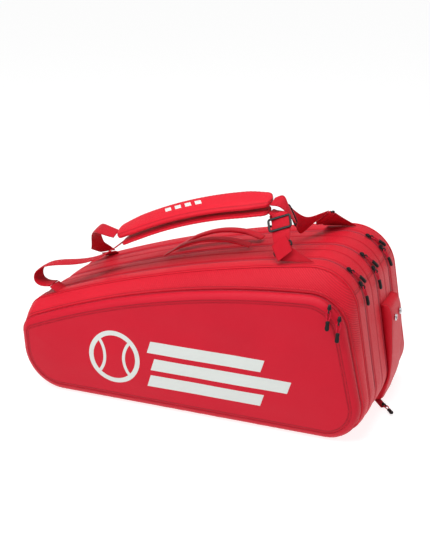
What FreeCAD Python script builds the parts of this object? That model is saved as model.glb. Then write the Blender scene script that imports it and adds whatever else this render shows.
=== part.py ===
import FreeCAD, Part
import math
import os
import Sketcher
from FreeCAD import Placement, Rotation, Vector

# A racket tournament bag. X runs along its length, Y from the front (-Y) to the back, Z up.
# The origin is under the middle of the base, on the face it stands on. Millimetres.

SIZES = {
    # outline of the gussets, seen from the front: four round corners (centre x, centre z, radius)
    "shell_bl_x": -268, "shell_bl_z": 95, "shell_bl_rad": 95,
    "shell_br_x": 294, "shell_br_z": 72, "shell_br_rad": 72,
    "shell_tr_x": 250, "shell_tr_z": 240, "shell_tr_rad": 88,
    "shell_tl_x": -322, "shell_tl_z": 138, "shell_tl_rad": 45,
    "shell_top_rad": 2500,
    # outline of the front pocket along its zip
    "pocket_bl_x": -268, "pocket_bl_z": 92, "pocket_bl_rad": 89,
    "pocket_br_x": 294, "pocket_br_z": 70, "pocket_br_rad": 67,
    "pocket_tr_x": 255, "pocket_tr_z": 212, "pocket_tr_rad": 74,
    "pocket_tl_x": -328, "pocket_tl_z": 122, "pocket_tl_rad": 31,
    "pocket_top_rad": 1700,
    # places of the seams and zips from front to back
    "pocket_face_y": -170, "pocket_zip_y": -150, "front_seam_y": -112, "front_zip_y": -66,
    "front_divider_y": -20, "middle_zip_y": 26, "rear_divider_y": 72, "rear_zip_y": 118, "back_face_y": 165,
    # padded walls, zips and clearances
    "wall": 4, "panel": 4, "gap": 0.3, "zip_half": 2.6, "zip_depth": 2.2, "zip_end_z": 74,
    "pocket_edge_round": 16,
    # shoe pocket on the right end
    "shoe_front_y": 31, "shoe_rear_y": 112, "shoe_wall": 3, "shoe_round": 9, "eyelet_rad": 5.5, "eyelet_tube": 1.6,
    # shoulder pads
    "pad_arc": 780, "upper_pad_length": 352, "upper_pad_width": 58, "upper_pad_thick": 12,
    "lower_pad_length": 332, "lower_pad_width": 54, "lower_pad_thick": 9,
    # webbing and its hardware
    "web_width": 38, "web_thick": 2,
    "buckle_length": 49, "buckle_height": 29, "buckle_bar": 4.5, "buckle_thick": 3,
    "ring_length": 47, "ring_height": 13, "ring_bar": 3.2,
    # zip sliders and pulls
    "slider_length": 11, "slider_width": 8, "slider_height": 4.2, "slider_lift": 0.6,
    "eye_reach": 2.6, "eye_rad": 3, "eye_tube": 0.7,
    "pull_cord": 2.2, "pull_end_length": 19, "pull_end_width": 7.6, "pull_end_thick": 5,
    "grab_width": 22, "grab_thick": 6,
}
NODES = []
doc = FreeCAD.newDocument("racket_bag")
sheet = doc.addObject("Spreadsheet::Sheet", "Spec")
for row, (word, value) in enumerate(SIZES.items(), start=1):
    sheet.set(f"A{row}", word)
    sheet.set(f"B{row}", str(value))
    sheet.setAlias(f"B{row}", word)
doc.recompute()


def size(word):
    return float(getattr(sheet, word))


def keep(item, label):
    """The finished object of one sub-part, under the name of its node."""
    item.Label = label
    NODES.append(item)
    return item


def solid(label, shape, placement=None):
    item = doc.addObject("Part::Feature", "solid_" + label)
    item.Shape = shape
    item.Placement = placement or Placement()
    return keep(item, label)


# ---------------------------------------------------------------- outlines of the shell and the pocket
def corner(outline, name):
    middle = Vector(size(f"{outline}_{name}_x"), size(f"{outline}_{name}_z"), 0)
    return middle, size(f"{outline}_{name}_rad")


def tangent_normal(first, second):
    """Outward normal of the straight side that touches two corner circles."""
    step = second[0] - first[0]
    turn = math.acos((first[1] - second[1]) / step.Length)
    angle = math.atan2(step.y, step.x) - turn
    return Vector(math.cos(angle), math.sin(angle), 0)


def top_centre(outline):
    """Centre of the long top arc, which touches both upper corners from outside."""
    right, left = corner(outline, "tr"), corner(outline, "tl")
    reach = size(outline + "_top_rad")
    a, b = reach - right[1], reach - left[1]
    step = left[0] - right[0]
    along = (a * a - b * b + step.Length ** 2) / (2 * step.Length)
    across = math.sqrt(a * a - along * along)
    unit = step * (1 / step.Length)
    return right[0] + unit * along + Vector(-unit.y, unit.x, 0) * across


def outline_curves(outline, inset):
    """The outline's eight curves, anticlockwise from the base line, each corner an arc."""
    bl, br, tr, tl = [corner(outline, name) for name in ("bl", "br", "tr", "tl")]
    crown = top_centre(outline)
    base, right, left = tangent_normal(bl, br), tangent_normal(br, tr), tangent_normal(tl, bl)
    to_right, to_left = tr[0] - crown, tl[0] - crown
    to_right.normalize()
    to_left.normalize()

    def touch(circle, normal):
        return circle[0] + normal * (circle[1] - inset)

    def arc(middle, reach, start, end):
        low = math.atan2(start.y, start.x)
        high = math.atan2(end.y, end.x)
        while high < low:
            high += 2 * math.pi
        circle = Part.Circle(middle, Vector(0, 0, 1), reach - inset)
        return Part.ArcOfCircle(circle, low, high)

    return [
        Part.LineSegment(touch(bl, base), touch(br, base)),
        arc(br[0], br[1], base, right),
        Part.LineSegment(touch(br, right), touch(tr, right)),
        arc(tr[0], tr[1], right, to_right),
        arc(crown, size(outline + "_top_rad"), to_right, to_left),
        arc(tl[0], tl[1], to_left, left),
        Part.LineSegment(touch(tl, left), touch(bl, left)),
        arc(bl[0], bl[1], left, base),
    ]


def add_outline(sketch, outline, inset_words):
    """One closed outline in a sketch, its radii reduced by the named sizes, held by constraints."""
    inset = sum(size(word) for word in inset_words)
    minus = "".join(" - Spec." + word for word in inset_words)
    first = sketch.GeometryCount
    for curve in outline_curves(outline, inset):
        sketch.addGeometry(curve, False)
    for index in range(8):
        after = (index + 1) % 8
        sketch.addConstraint(Sketcher.Constraint("Tangent", first + index, 2, first + after, 1))
    for index, name in ((1, "br"), (3, "tr"), (5, "tl"), (7, "bl")):
        arc = first + index
        middle, reach = corner(outline, name)
        bind(sketch, Sketcher.Constraint("DistanceX", -1, 1, arc, 3, middle.x), f"Spec.{outline}_{name}_x")
        bind(sketch, Sketcher.Constraint("DistanceY", -1, 1, arc, 3, middle.y), f"Spec.{outline}_{name}_z")
        bind(sketch, Sketcher.Constraint("Radius", arc, reach - inset), f"Spec.{outline}_{name}_rad{minus}")
    crown = size(outline + "_top_rad")
    bind(sketch, Sketcher.Constraint("Radius", first + 4, crown - inset), f"Spec.{outline}_top_rad{minus}")


def bind(sketch, constraint, expression):
    index = sketch.addConstraint(constraint)
    sketch.setExpression(f"Constraints[{index}]", expression)


def plane_sketch(body, name, role="XZ_Plane"):
    sketch = body.newObject("Sketcher::SketchObject", name)
    plane = [item for item in body.Origin.OriginFeatures if item.Role == role][0]
    sketch.AttachmentSupport = [(plane, "")]
    sketch.MapMode = "FlatFace"
    return sketch


def padded_body(name, outline, loops, y_expression, depth_expression):
    """A body padded back (+Y) from the outline loops given as lists of inset words."""
    body = doc.addObject("PartDesign::Body", name)
    sketch = plane_sketch(body, name + "_outline")
    for words in loops:
        add_outline(sketch, outline, words)
    pad = body.newObject("PartDesign::Pad", name + "_pad")
    pad.Profile = sketch
    pad.Reversed = True
    pad.setExpression("Length", depth_expression)
    sketch.Visibility = False
    body.setExpression("Placement.Base.y", y_expression)
    return body


# ---------------------------------------------------------------- the shell: panels, dividers and gussets
def gusset(label, from_expression, to_expression):
    return keep(padded_body(label, "shell", [[], ["wall"]], from_expression,
                            f"({to_expression}) - ({from_expression})"), label)


def panel(label, from_expression):
    return keep(padded_body(label, "shell", [["wall", "gap"]], from_expression, "Spec.panel"), label)


def zip_half(name, outline, from_expression):
    """Half a zip chain: a low strip just inside the outline, from the end down one side to the other."""
    body = padded_body(name, outline, [[], ["zip_depth"]], from_expression, "Spec.zip_half")
    sketch = plane_sketch(body, name + "_ends")
    corners = [Vector(-500, -100, 0), Vector(500, -100, 0), Vector(500, size("zip_end_z"), 0),
               Vector(-500, size("zip_end_z"), 0)]
    for index in range(4):
        sketch.addGeometry(Part.LineSegment(corners[index], corners[(index + 1) % 4]), False)
    for index in range(4):
        sketch.addConstraint(Sketcher.Constraint("Coincident", index, 2, (index + 1) % 4, 1))
    for index in (0, 2):
        sketch.addConstraint(Sketcher.Constraint("Horizontal", index))
        sketch.addConstraint(Sketcher.Constraint("Vertical", index + 1))
    bind(sketch, Sketcher.Constraint("DistanceY", -1, 1, 2, 1, size("zip_end_z")), "Spec.zip_end_z")
    pocket = body.newObject("PartDesign::Pocket", name + "_cut")
    pocket.Profile = sketch
    pocket.Type = "ThroughAll"
    pocket.Midplane = True
    sketch.Visibility = False
    return body


def group(label, items):
    bundle = doc.addObject("Part::Compound", label)
    bundle.Links = items
    return keep(bundle, label)


def shell():
    half, gap = "Spec.zip_half", "Spec.gap"
    gusset("front_gusset", "Spec.front_seam_y", f"Spec.front_zip_y - {half} - {gap}")
    for name, before, after in (("front", "front_zip_y", "middle_zip_y"), ("rear", "middle_zip_y", "rear_zip_y")):
        gusset(f"{name}_divider_gusset", f"Spec.{before} + {half} + {gap}", f"Spec.{after} - {half} - {gap}")
        panel(f"{name}_divider", f"Spec.{name}_divider_y - Spec.panel / 2")
    gusset("rear_gusset", f"Spec.rear_zip_y + {half} + {gap}", "Spec.back_face_y")
    panel("back_panel", "Spec.back_face_y - Spec.panel")
    panel("front_panel", "Spec.front_seam_y")
    ahead = {name: zip_half(name + "_zip_ahead", "shell", f"Spec.{name}_zip_y - {half} - {gap} / 2")
             for name in ("front", "middle", "rear")}
    behind = {name: zip_half(name + "_zip_behind", "shell", f"Spec.{name}_zip_y + {gap} / 2")
              for name in ("front", "middle", "rear")}
    pocket_half = zip_half("pocket_zip_behind", "pocket", f"Spec.pocket_zip_y + {gap} / 2")
    group("front_zip_tapes", [ahead["front"], pocket_half])
    group("front_divider_zip_tapes", [behind["front"], ahead["middle"]])
    group("rear_divider_zip_tapes", [behind["middle"], ahead["rear"]])
    keep(behind["rear"], "rear_zip_tape")
    keep(zip_half("pocket_zip_ahead", "pocket", f"Spec.pocket_zip_y - {half} - {gap} / 2"), "pocket_zip_tape")


# ---------------------------------------------------------------- the sloping front panel and its pocket
def loft_body(name, inset_words, reverse):
    """Ruled solid from the shell outline at the front seam forward to the pocket outline at its zip."""
    body = doc.addObject("PartDesign::Body", name)
    rear = plane_sketch(body, name + "_rear")
    add_outline(rear, "shell", inset_words)
    ahead = plane_sketch(body, name + "_ahead")
    add_outline(ahead, "pocket", inset_words)
    reach = "Spec.front_seam_y - Spec.pocket_zip_y - Spec.zip_half - 2 * Spec.gap"
    ahead.setExpression("AttachmentOffset.Base.z", reach)
    loft = body.newObject("PartDesign::AdditiveLoft", name + "_loft")
    loft.Profile = rear
    loft.Sections = [ahead]
    loft.Ruled = True
    loft.Reversed = reverse
    rear.Visibility = False
    ahead.Visibility = False
    body.setExpression("Placement.Base.y", "Spec.front_seam_y - Spec.gap")
    return body


def front_yoke():
    outer = loft_body("yoke_outer", [], False)
    inner = loft_body("yoke_inner", ["wall"], False)
    doc.recompute()
    yoke = doc.addObject("Part::Cut", "front_yoke")
    yoke.Base = outer
    yoke.Tool = inner
    return keep(yoke, "front_yoke")


def pocket_cover():
    """Shallow tray open to the back, its front edge rounded."""
    body = padded_body("pocket_cover", "pocket", [[]], "Spec.pocket_face_y",
                       "Spec.pocket_zip_y - Spec.pocket_face_y - Spec.zip_half - Spec.gap")
    doc.recompute()
    pad = body.Tip
    front = min(range(len(pad.Shape.Faces)), key=lambda index: pad.Shape.Faces[index].CenterOfMass.y)
    rounding = body.newObject("PartDesign::Fillet", "pocket_cover_round")
    rounding.Base = (pad, [f"Face{front + 1}"])
    rounding.setExpression("Radius", "Spec.pocket_edge_round")
    doc.recompute()
    back = max(range(len(rounding.Shape.Faces)), key=lambda index: rounding.Shape.Faces[index].CenterOfMass.y)
    shelling = body.newObject("PartDesign::Thickness", "pocket_cover_hollow")
    shelling.Base = (rounding, [f"Face{back + 1}"])
    shelling.Reversed = True
    shelling.setExpression("Value", "Spec.panel")
    return keep(body, "pocket_cover")


# ---------------------------------------------------------------- shoe pocket on the right end
def shoe_pocket():
    front, rear = size("shoe_front_y"), size("shoe_rear_y")
    outer = [(320, 211), (362, 211), (369, 188), (373, 106), (371, 56), (357, 4), (325, 4), (318, 90)]
    wall = size("shoe_wall")

    def slab(points, low, high):
        corners = [Vector(x, low, z) for x, z in points]
        face = Part.Face(Part.makePolygon(corners + corners[:1]))
        return face.extrude(Vector(0, high - low, 0))

    block = slab(outer, front, rear)
    rims = [edge for edge in block.Edges if edge.CenterOfMass.x > 345 and edge.CenterOfMass.z > 10
            and edge.CenterOfMass.y in (front, rear)]
    block = block.makeFillet(size("shoe_round"), rims)
    core = slab([(x - wall if x > 345 else x - 20, z - wall if z > 100 else z + wall) for x, z in outer],
                front + wall, rear - wall)
    end = Part.Face(Part.Wire([edge.toShape() for edge in outline_curves("shell", -0.5)]))
    end.rotate(Vector(), Vector(1, 0, 0), 90)
    bag = end.extrude(Vector(0, 400, 0))
    bag.translate(Vector(0, -100, 0))
    solid("shoe_pocket", block.cut(core).cut(bag))
    rings = []
    for index, y in enumerate((front + 22, rear - 22)):
        ring = doc.addObject("Part::Torus", f"eyelet_{index + 1}")
        ring.setExpression("Radius1", "Spec.eyelet_rad")
        ring.setExpression("Radius2", "Spec.eyelet_tube")
        ring.Placement = Placement(Vector(369.4 + size("eyelet_tube") + 0.3, y, 181), Rotation(Vector(0, 1, 0), 87))
        rings.append(ring)
    group("shoe_pocket_eyelets", rings)


# ---------------------------------------------------------------- ribbons: webbing, anchors and grab handles
def ribbon(points, thick):
    """Flat band through cross-lines, each given by its middle point and its half-width vector."""
    stations = [(Vector(*middle), Vector(*half)) for middle, half in points]
    rings = []
    for index, (middle, half) in enumerate(stations):
        before = stations[max(index - 1, 0)][0]
        after = stations[min(index + 1, len(stations) - 1)][0]
        up = half.cross(after - before)
        up.normalize()
        up = up * (thick / 2)
        rings.append([middle - half - up, middle + half - up, middle + half + up, middle - half + up])
    return Part.makeLoft([Part.makePolygon(ring + ring[:1]) for ring in rings], True, True)


def half_width(direction, width=None):
    arrow = Vector(*direction)
    arrow.normalize()
    arrow = arrow * ((width or size("web_width")) / 2)
    return (arrow.x, arrow.y, arrow.z)


RING_TILT = (0.73, 0, 0.68)
BAG_TOP = (0.97, 0, 0.25)
ACROSS = (0, 1, 0)


def anchors():
    thick = size("web_thick")
    right = ribbon([((213, -103, 329), half_width((0.99, 0, 0.1), 66)),
                    ((196, -101, 337), half_width((0.9, 0, 0.42), 46)),
                    (along_run(*FRONT_RING, -10.5), half_width(RING_TILT))], thick)
    left = ribbon([((-299, -92, 193), half_width(ACROSS)), ((-318.8, -92, 204.4), half_width(ACROSS))], thick)
    solid("front_strap_anchors", Part.makeCompound([right, left]))
    right = ribbon([((228, 141, 329), half_width((0.99, 0, 0.1), 62)),
                    ((216, 122, 341), half_width((0.9, 0, 0.42), 46)),
                    (along_run(*REAR_RING, -10.5), half_width(RING_TILT))], thick)
    left = ribbon([((-300, 140, 196), half_width(BAG_TOP)), ((-303, 128, 205), half_width(BAG_TOP))], thick)
    solid("rear_strap_anchors", Part.makeCompound([right, left]))


def along_run(place, run, reach):
    return tuple(start + step * reach for start, step in zip(place, run))


# The buckles: middle, direction of the long side and direction of the webbing through it.
FRONT_BUCKLE = ((163, -60, 385), (0.9, 0.1, 0.35), (0.345, -0.6, -0.722))
REAR_BUCKLE = ((168, -3, 388), (-0.45, 0.05, 0.89), (-0.302, 0.93, -0.205))


def webbing():
    thick = size("web_thick")
    place, across, run = FRONT_BUCKLE
    solid("front_webbing_right", ribbon([
        ((136.5, -36, 400), half_width(ACROSS, 30)),
        ((146, -43, 399), half_width((0.3, 0.95, 0.1), 30)),
        (along_run(place, run, -18), half_width(across)),
        (along_run(place, run, 18), half_width(across)),
        ((177.5, -89, 353), half_width(RING_TILT)),
    ], thick))
    solid("front_webbing_left", ribbon([
        ((-320.5, -92, 205), half_width(ACROSS)),
        ((-342, -92, 203.5), half_width(ACROSS)),
        ((-355, -91, 211), half_width(ACROSS)),
        ((-357, -88, 226), half_width(ACROSS)),
        ((-345, -83, 239), half_width(ACROSS)),
        ((-318, -76, 247), half_width(ACROSS)),
        ((-282, -67, 250), half_width(ACROSS)),
        ((-246, -56, 257), half_width(ACROSS)),
        ((-215, -46, 272), half_width(ACROSS, 34)),
        ((-184, -36, 297), half_width(ACROSS, 30)),
    ], thick))
    place, across, run = REAR_BUCKLE
    solid("rear_webbing_right", ribbon([
        ((138.5, -34, 419), half_width((0, 1, 0.25), 30)),
        ((154, -26, 420), half_width((-0.15, 0.85, 0.5), 32)),
        (along_run(place, run, -18), half_width(across)),
        (along_run(place, run, 18), half_width(across)),
        ((164, 30, 368), half_width((-0.2, 0, 0.98))),
        ((176, 45, 350), half_width((0.3, 0, 0.95))),
        ((194, 64, 358), half_width((0.6, 0, 0.8))),
        ((202.5, 84, 362), half_width(RING_TILT)),
    ], thick))
    solid("rear_webbing_left", ribbon([
        ((-304, 125, 209), half_width(BAG_TOP)),
        ((-312, 104, 224), half_width((0.8, 0.5, 0.2))),
        ((-302, 76, 238), half_width((0.4, 0.9, 0.1))),
        ((-289, 46, 262), half_width((0.15, 1, 0))),
        ((-276, 18, 292), half_width((0, 1, 0.15))),
        ((-254, -8, 310), half_width((0, 1, 0.2))),
        ((-224, -26, 312), half_width((0, 1, 0.25), 34)),
        ((-200, -34, 311), half_width((0, 1, 0.25), 30)),
    ], thick))


def shoulder_pad(label, place, tilt, slope=18.0):
    """Arched pad: a curved band padded both ways, rounded all round, tipped to lie over the bag."""
    body = doc.addObject("PartDesign::Body", label)
    sketch = plane_sketch(body, label + "_side")
    thick = size(label + "_thick")
    outer = size("pad_arc")
    swing = size(label + "_length") / outer / 2
    low, high = math.pi / 2 - swing, math.pi / 2 + swing
    middle = Vector(0, -outer, 0)
    rim = [Part.ArcOfCircle(Part.Circle(middle, Vector(0, 0, 1), reach), low, high)
           for reach in (outer, outer - thick)]
    ends = [Part.LineSegment(middle + Vector(math.cos(angle), math.sin(angle), 0) * outer,
                             middle + Vector(math.cos(angle), math.sin(angle), 0) * (outer - thick))
            for angle in (low, high)]
    for curve in rim + ends:
        sketch.addGeometry(curve, False)
    for pair in ((0, 1, 2, 1), (1, 1, 2, 2), (0, 2, 3, 1), (1, 2, 3, 2), (0, 3, 1, 3)):
        sketch.addConstraint(Sketcher.Constraint("Coincident", *pair))
    bind(sketch, Sketcher.Constraint("Radius", 0, outer), "Spec.pad_arc")
    bind(sketch, Sketcher.Constraint("Radius", 1, outer - thick), f"Spec.pad_arc - Spec.{label}_thick")
    pad = body.newObject("PartDesign::Pad", label + "_pad")
    pad.Profile = sketch
    pad.Midplane = True
    pad.setExpression("Length", f"Spec.{label}_width")
    rounding = body.newObject("PartDesign::Fillet", label + "_round")
    doc.recompute()
    rounding.Base = (pad, [])
    rounding.UseAllEdges = True
    rounding.setExpression("Radius", f"Spec.{label}_thick * 0.42")
    sketch.Visibility = False
    turn = Rotation(Vector(0, 1, 0), -slope).multiply(Rotation(Vector(1, 0, 0), tilt))
    body.Placement = Placement(Vector(*place), turn)
    return keep(body, label)


def frame_bar(label, words, place, across, normal, middle_bar):
    """Rectangular frame of flat bar, with a dropped middle bar if it is a buckle."""
    length, height, bar, thick = [size(word) for word in words]
    outer = doc.addObject("Part::Box", label + "_outer")
    inner = doc.addObject("Part::Box", label + "_window")
    for box, edge, rise in ((outer, 0, 0), (inner, 1, 5)):
        box.setExpression("Length", f"Spec.{words[0]} - {2 * edge} * Spec.{words[2]}")
        box.setExpression("Width", f"Spec.{words[1]} - {2 * edge} * Spec.{words[2]}")
        box.setExpression("Height", f"Spec.{words[3]} + {2 * rise}")
        box.Placement = Placement(Vector(edge * bar - length / 2, edge * bar - height / 2, -rise), Rotation())
    frame = doc.addObject("Part::Cut", label + "_frame")
    frame.Base = outer
    frame.Tool = inner
    x_axis = Vector(*across)
    x_axis.normalize()
    z_axis = Vector(*normal)
    z_axis = z_axis - x_axis * z_axis.dot(x_axis)
    z_axis.normalize()
    turn = Rotation(x_axis, z_axis.cross(x_axis), z_axis, "ZXY")
    web = size("web_thick")
    pose = Placement(Vector(*place) + z_axis * (web / 2 + 0.4 if middle_bar else -thick / 2), turn)
    if not middle_bar:
        frame.Placement = pose
        return keep(frame, label)
    # side cheeks carry the middle bar, which passes behind the webbing
    drop = web + 0.8
    parts = [frame]
    for name, corner_at, lengths in (
            ("bar", (-length / 2, -bar / 2, -drop - thick), (length, bar, thick)),
            ("cheek_low", (-length / 2, -bar, -drop - thick), (bar, 2 * bar, drop + 1.5 * thick)),
            ("cheek_high", (length / 2 - bar, -bar, -drop - thick), (bar, 2 * bar, drop + 1.5 * thick))):
        box = doc.addObject("Part::Box", f"{label}_{name}")
        box.Length, box.Width, box.Height = lengths
        box.Placement = Placement(Vector(*corner_at), Rotation())
        parts.append(box)
    joined = doc.addObject("Part::MultiFuse", label)
    joined.Shapes = parts
    joined.Placement = pose
    return keep(joined, label)


def cross(first, second):
    out = Vector(*first).cross(Vector(*second))
    return (out.x, out.y, out.z)


# The rings: middle and direction of the webbing through them; both lie along RING_TILT.
FRONT_RING = ((181, -94, 348), (-0.555, 0.576, 0.596))
REAR_RING = ((207, 93, 357), (-0.25, -0.93, 0.27))


def hardware():
    buckle = ("buckle_length", "buckle_height", "buckle_bar", "buckle_thick")
    ring = ("ring_length", "ring_height", "ring_bar", "ring_bar")
    place, across, run = FRONT_BUCKLE
    frame_bar("front_buckle", buckle, place, across, cross(run, across), True)
    place, across, run = REAR_BUCKLE
    frame_bar("rear_buckle", buckle, place, across, cross(across, run), True)
    for label, (place, run) in (("front_ring", FRONT_RING), ("rear_ring", REAR_RING)):
        frame_bar(label, ring, place, RING_TILT, cross(RING_TILT, run), False)


def grab_handles():
    width, thick = size("grab_width"), size("grab_thick")
    for label, y, lean, ends in (("front_grab_handle", 2, -0.35, ((-104, 264), (80, 307))),
                                 ("rear_grab_handle", 50, 0.25, ((-98, 266), (90, 309)))):
        (x0, z0), (x1, z1) = ends
        points = []
        for step in range(9):
            share = step / 8
            rise = 20 * math.sin(math.pi * share) + 4 * math.sin(math.pi * min(1, 4 * min(share, 1 - share)) / 2)
            middle = (x0 + (x1 - x0) * share, y + lean * rise, z0 + (z1 - z0) * share + rise + thick / 2 + 1)
            points.append((middle, half_width((0, 1, 0.1), width)))
        solid(label, ribbon(points, thick))


# ---------------------------------------------------------------- zip sliders and their pulls
# Half of the cord loop in its own plane: sideways, and how far from the slider's eye.
LOOP_REACH = 17.0
LOOP_HALF = [(1.5, LOOP_REACH), (3.2, 11.0), (4.0, 5.0), (2.8, 0)]
LOOP = [(-side, reach) for side, reach in LOOP_HALF] + [(side, reach) for side, reach in reversed(LOOP_HALF)]


def laid(origin, ahead, across, lift, bend, points):
    """Points given sideways and ahead of an origin, sinking along a circle of the bend radius."""
    placed = []
    for aside, distance in points:
        sink = bend - math.sqrt(bend ** 2 - distance ** 2) if bend else 0
        placed.append(origin + ahead * distance + across * aside - lift * sink)
    return placed


def cord_tube(route, thick):
    """Straight runs joined by tangent arcs, each arc as large as its two runs allow."""
    edges, start, bends = [], route[0], []
    for before, point, after in zip(route, route[1:], route[2:]):
        back, ahead = before - point, after - point
        turn = math.pi - back.getAngle(ahead)
        run = 0.45 * min(back.Length, ahead.Length)
        bends.append(run / math.tan(turn / 2))
        back.normalize()
        ahead.normalize()
        first, last = point + back * run, point + ahead * run
        bisector = back + ahead
        bisector.normalize()
        to_centre = bends[-1] / math.cos(turn / 2)
        top = point + bisector * (to_centre - bends[-1])
        edges.append(Part.LineSegment(start, first).toShape())
        edges.append(Part.Arc(first, top, last).toShape())
        start = last
    edges.append(Part.LineSegment(start, route[-1]).toShape())
    path = Part.Wire(edges)
    ring = Part.Wire([Part.makeCircle(thick / 2, route[0], route[1] - route[0])])
    tube = path.makePipeShell([ring], True, False)
    share = tube.Volume / (math.pi * thick ** 2 / 4 * path.Length)
    if abs(share - 1) > 0.02:
        raise RuntimeError(f"cord volume is {share:.3f} of its section times its length")
    return tube, path.Length, min(bends)


def zip_pull(name, slider_at, along, lift, bend, veer):
    """Slider with its eye, the cord loop through the eye and the moulded end, laid along the bag.

    The pull leaves the slider's line by the veer angle and follows the bend radius of the surface.
    """
    along.normalize()
    lift.normalize()
    side = lift.cross(along)
    length, width, height = size("slider_length"), size("slider_width"), size("slider_height")
    low = size("slider_lift")
    body = Part.makeBox(length, width, height, Vector(-length / 2, -width / 2, low))
    body = body.makeFillet(1.2, body.Edges)
    eye_at = Vector(length / 2 + size("eye_reach"), 0, low + size("eye_rad") + size("eye_tube"))
    eye = Part.makeTorus(size("eye_rad"), size("eye_tube"), eye_at, Vector(0, 1, 0))
    solid(name + "_slider", body.fuse(eye), Placement(slider_at, Rotation(along, side, lift, "ZXY")))
    top = slider_at + along * eye_at.x + lift * eye_at.z
    swing = Rotation(lift, veer)
    ahead, across = swing.multVec(along), swing.multVec(side)
    route = laid(top, ahead, across, lift, bend, LOOP)
    cord, cord_length, tightest = cord_tube(route, size("pull_cord"))
    solid(name + "_pull_cord", cord)
    reach = size("pull_end_length")
    grip_at, grip_far = laid(top, ahead, across, lift, bend, [(0, LOOP_REACH), (0, LOOP_REACH + reach)])
    forward = grip_far - grip_at
    forward.normalize()
    upward = forward.cross(across)
    grip = Part.makeBox(reach, size("pull_end_width"), size("pull_end_thick"),
                        Vector(0, -size("pull_end_width") / 2, -size("pull_end_thick") / 2))
    grip = grip.makeFillet(1.9, grip.Edges)
    solid(name + "_pull_end", grip, Placement(grip_at, Rotation(forward, across, upward, "ZXY")))
    print(f"{name} cord length {cord_length:.1f} mm, smallest radius {tightest:.2f} mm")


# Name, zip, place round the shell's upper corner and veer of the pull, in degrees.
CORNER_PULLS = (
    ("front_zip_upper", "front_zip_y", 54, 28), ("front_zip_lower", "front_zip_y", 32, -8),
    ("middle_zip_upper", "middle_zip_y", 54, 28), ("middle_zip_lower", "middle_zip_y", 32, -6),
    ("rear_zip_upper", "rear_zip_y", 64, 28), ("rear_zip_lower", "rear_zip_y", 42, -5),
)


def round_corner(outline, degrees, y):
    """Point of an outline's upper right corner and the way out of it there."""
    middle, reach = corner(outline, "tr")
    out = Vector(math.cos(math.radians(degrees)), 0, math.sin(math.radians(degrees)))
    return Vector(middle.x, y, middle.y) + out * reach, out


def zip_pulls():
    for name, station, degrees, veer in CORNER_PULLS:
        place, out = round_corner("shell", degrees, size(station))
        zip_pull(name, place, Vector(out.z, 0, -out.x), out, size("shell_tr_rad") + 8, veer)
    for name, degrees in (("pocket_zip_upper", 55), ("pocket_zip_lower", 33)):
        place, out = round_corner("pocket", degrees, size("pocket_zip_y") - 15)
        zip_pull(name, place, Vector(0.02, -0.35, -1), Vector(0, -1, 0.35), 0, 0)
    zip_pull("shoe_zip", Vector(365, 14, 2.4), Vector(0.6, -0.8, 0), Vector(0, 0, 1), 0, 0)


shell()
front_yoke()
pocket_cover()
shoe_pocket()
anchors()
webbing()
shoulder_pad("upper_pad", (-38, -36, 390), 13)
shoulder_pad("lower_pad", (-30, -36, 370.2), -4)
hardware()
grab_handles()
zip_pulls()
doc.recompute()

broken = [item.Label for item in doc.Objects if "Invalid" in item.State or "Error" in item.State]
broken += [item.Label for item in NODES if item.Shape.isNull() or not item.Shape.isValid()]
if broken:
    raise RuntimeError("not built: " + ", ".join(broken))
os.makedirs("parts", exist_ok=True)
for item in NODES:
    item.Shape.exportStep(f"parts/{item.Label}.step")
print(len(NODES), "nodes")
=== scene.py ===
import math

import bpy
import numpy as np
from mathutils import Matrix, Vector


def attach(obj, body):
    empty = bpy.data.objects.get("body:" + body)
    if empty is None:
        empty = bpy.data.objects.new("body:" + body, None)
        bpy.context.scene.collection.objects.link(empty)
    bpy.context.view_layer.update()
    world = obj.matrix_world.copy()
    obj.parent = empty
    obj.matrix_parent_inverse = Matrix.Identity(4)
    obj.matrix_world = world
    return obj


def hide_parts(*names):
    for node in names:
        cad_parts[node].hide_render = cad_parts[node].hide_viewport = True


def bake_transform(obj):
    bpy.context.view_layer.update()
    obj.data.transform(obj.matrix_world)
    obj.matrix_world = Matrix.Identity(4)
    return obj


# A racket bag: padded gussets between three long zips, a domed front pocket, an end pocket,
# two shoulder straps and two grab handles. Lengths below are millimetres until a mesh is made.

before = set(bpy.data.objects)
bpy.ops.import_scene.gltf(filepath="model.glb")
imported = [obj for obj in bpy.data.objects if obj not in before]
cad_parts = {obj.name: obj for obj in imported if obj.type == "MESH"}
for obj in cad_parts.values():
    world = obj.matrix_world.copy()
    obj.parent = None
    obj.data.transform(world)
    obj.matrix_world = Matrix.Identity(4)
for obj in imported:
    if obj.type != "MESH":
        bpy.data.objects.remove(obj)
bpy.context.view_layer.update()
scene = bpy.context.scene
scene.view_settings.view_transform = "Standard"
print("frame loaded:", len(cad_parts), "nodes")

# ---- camera
lookout = {"place": (0.8486, -2.0813, 1.0753), "tilt": 69.54, "turn": 22.07, "lens": 76.86}
camera = bpy.data.objects.new("camera", bpy.data.cameras.new("camera"))
scene.collection.objects.link(camera)
camera.location = lookout["place"]
camera.rotation_euler = (math.radians(lookout["tilt"]), 0, math.radians(lookout["turn"]))
camera.data.sensor_width = 36
camera.data.lens = lookout["lens"]
scene.camera = camera


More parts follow.
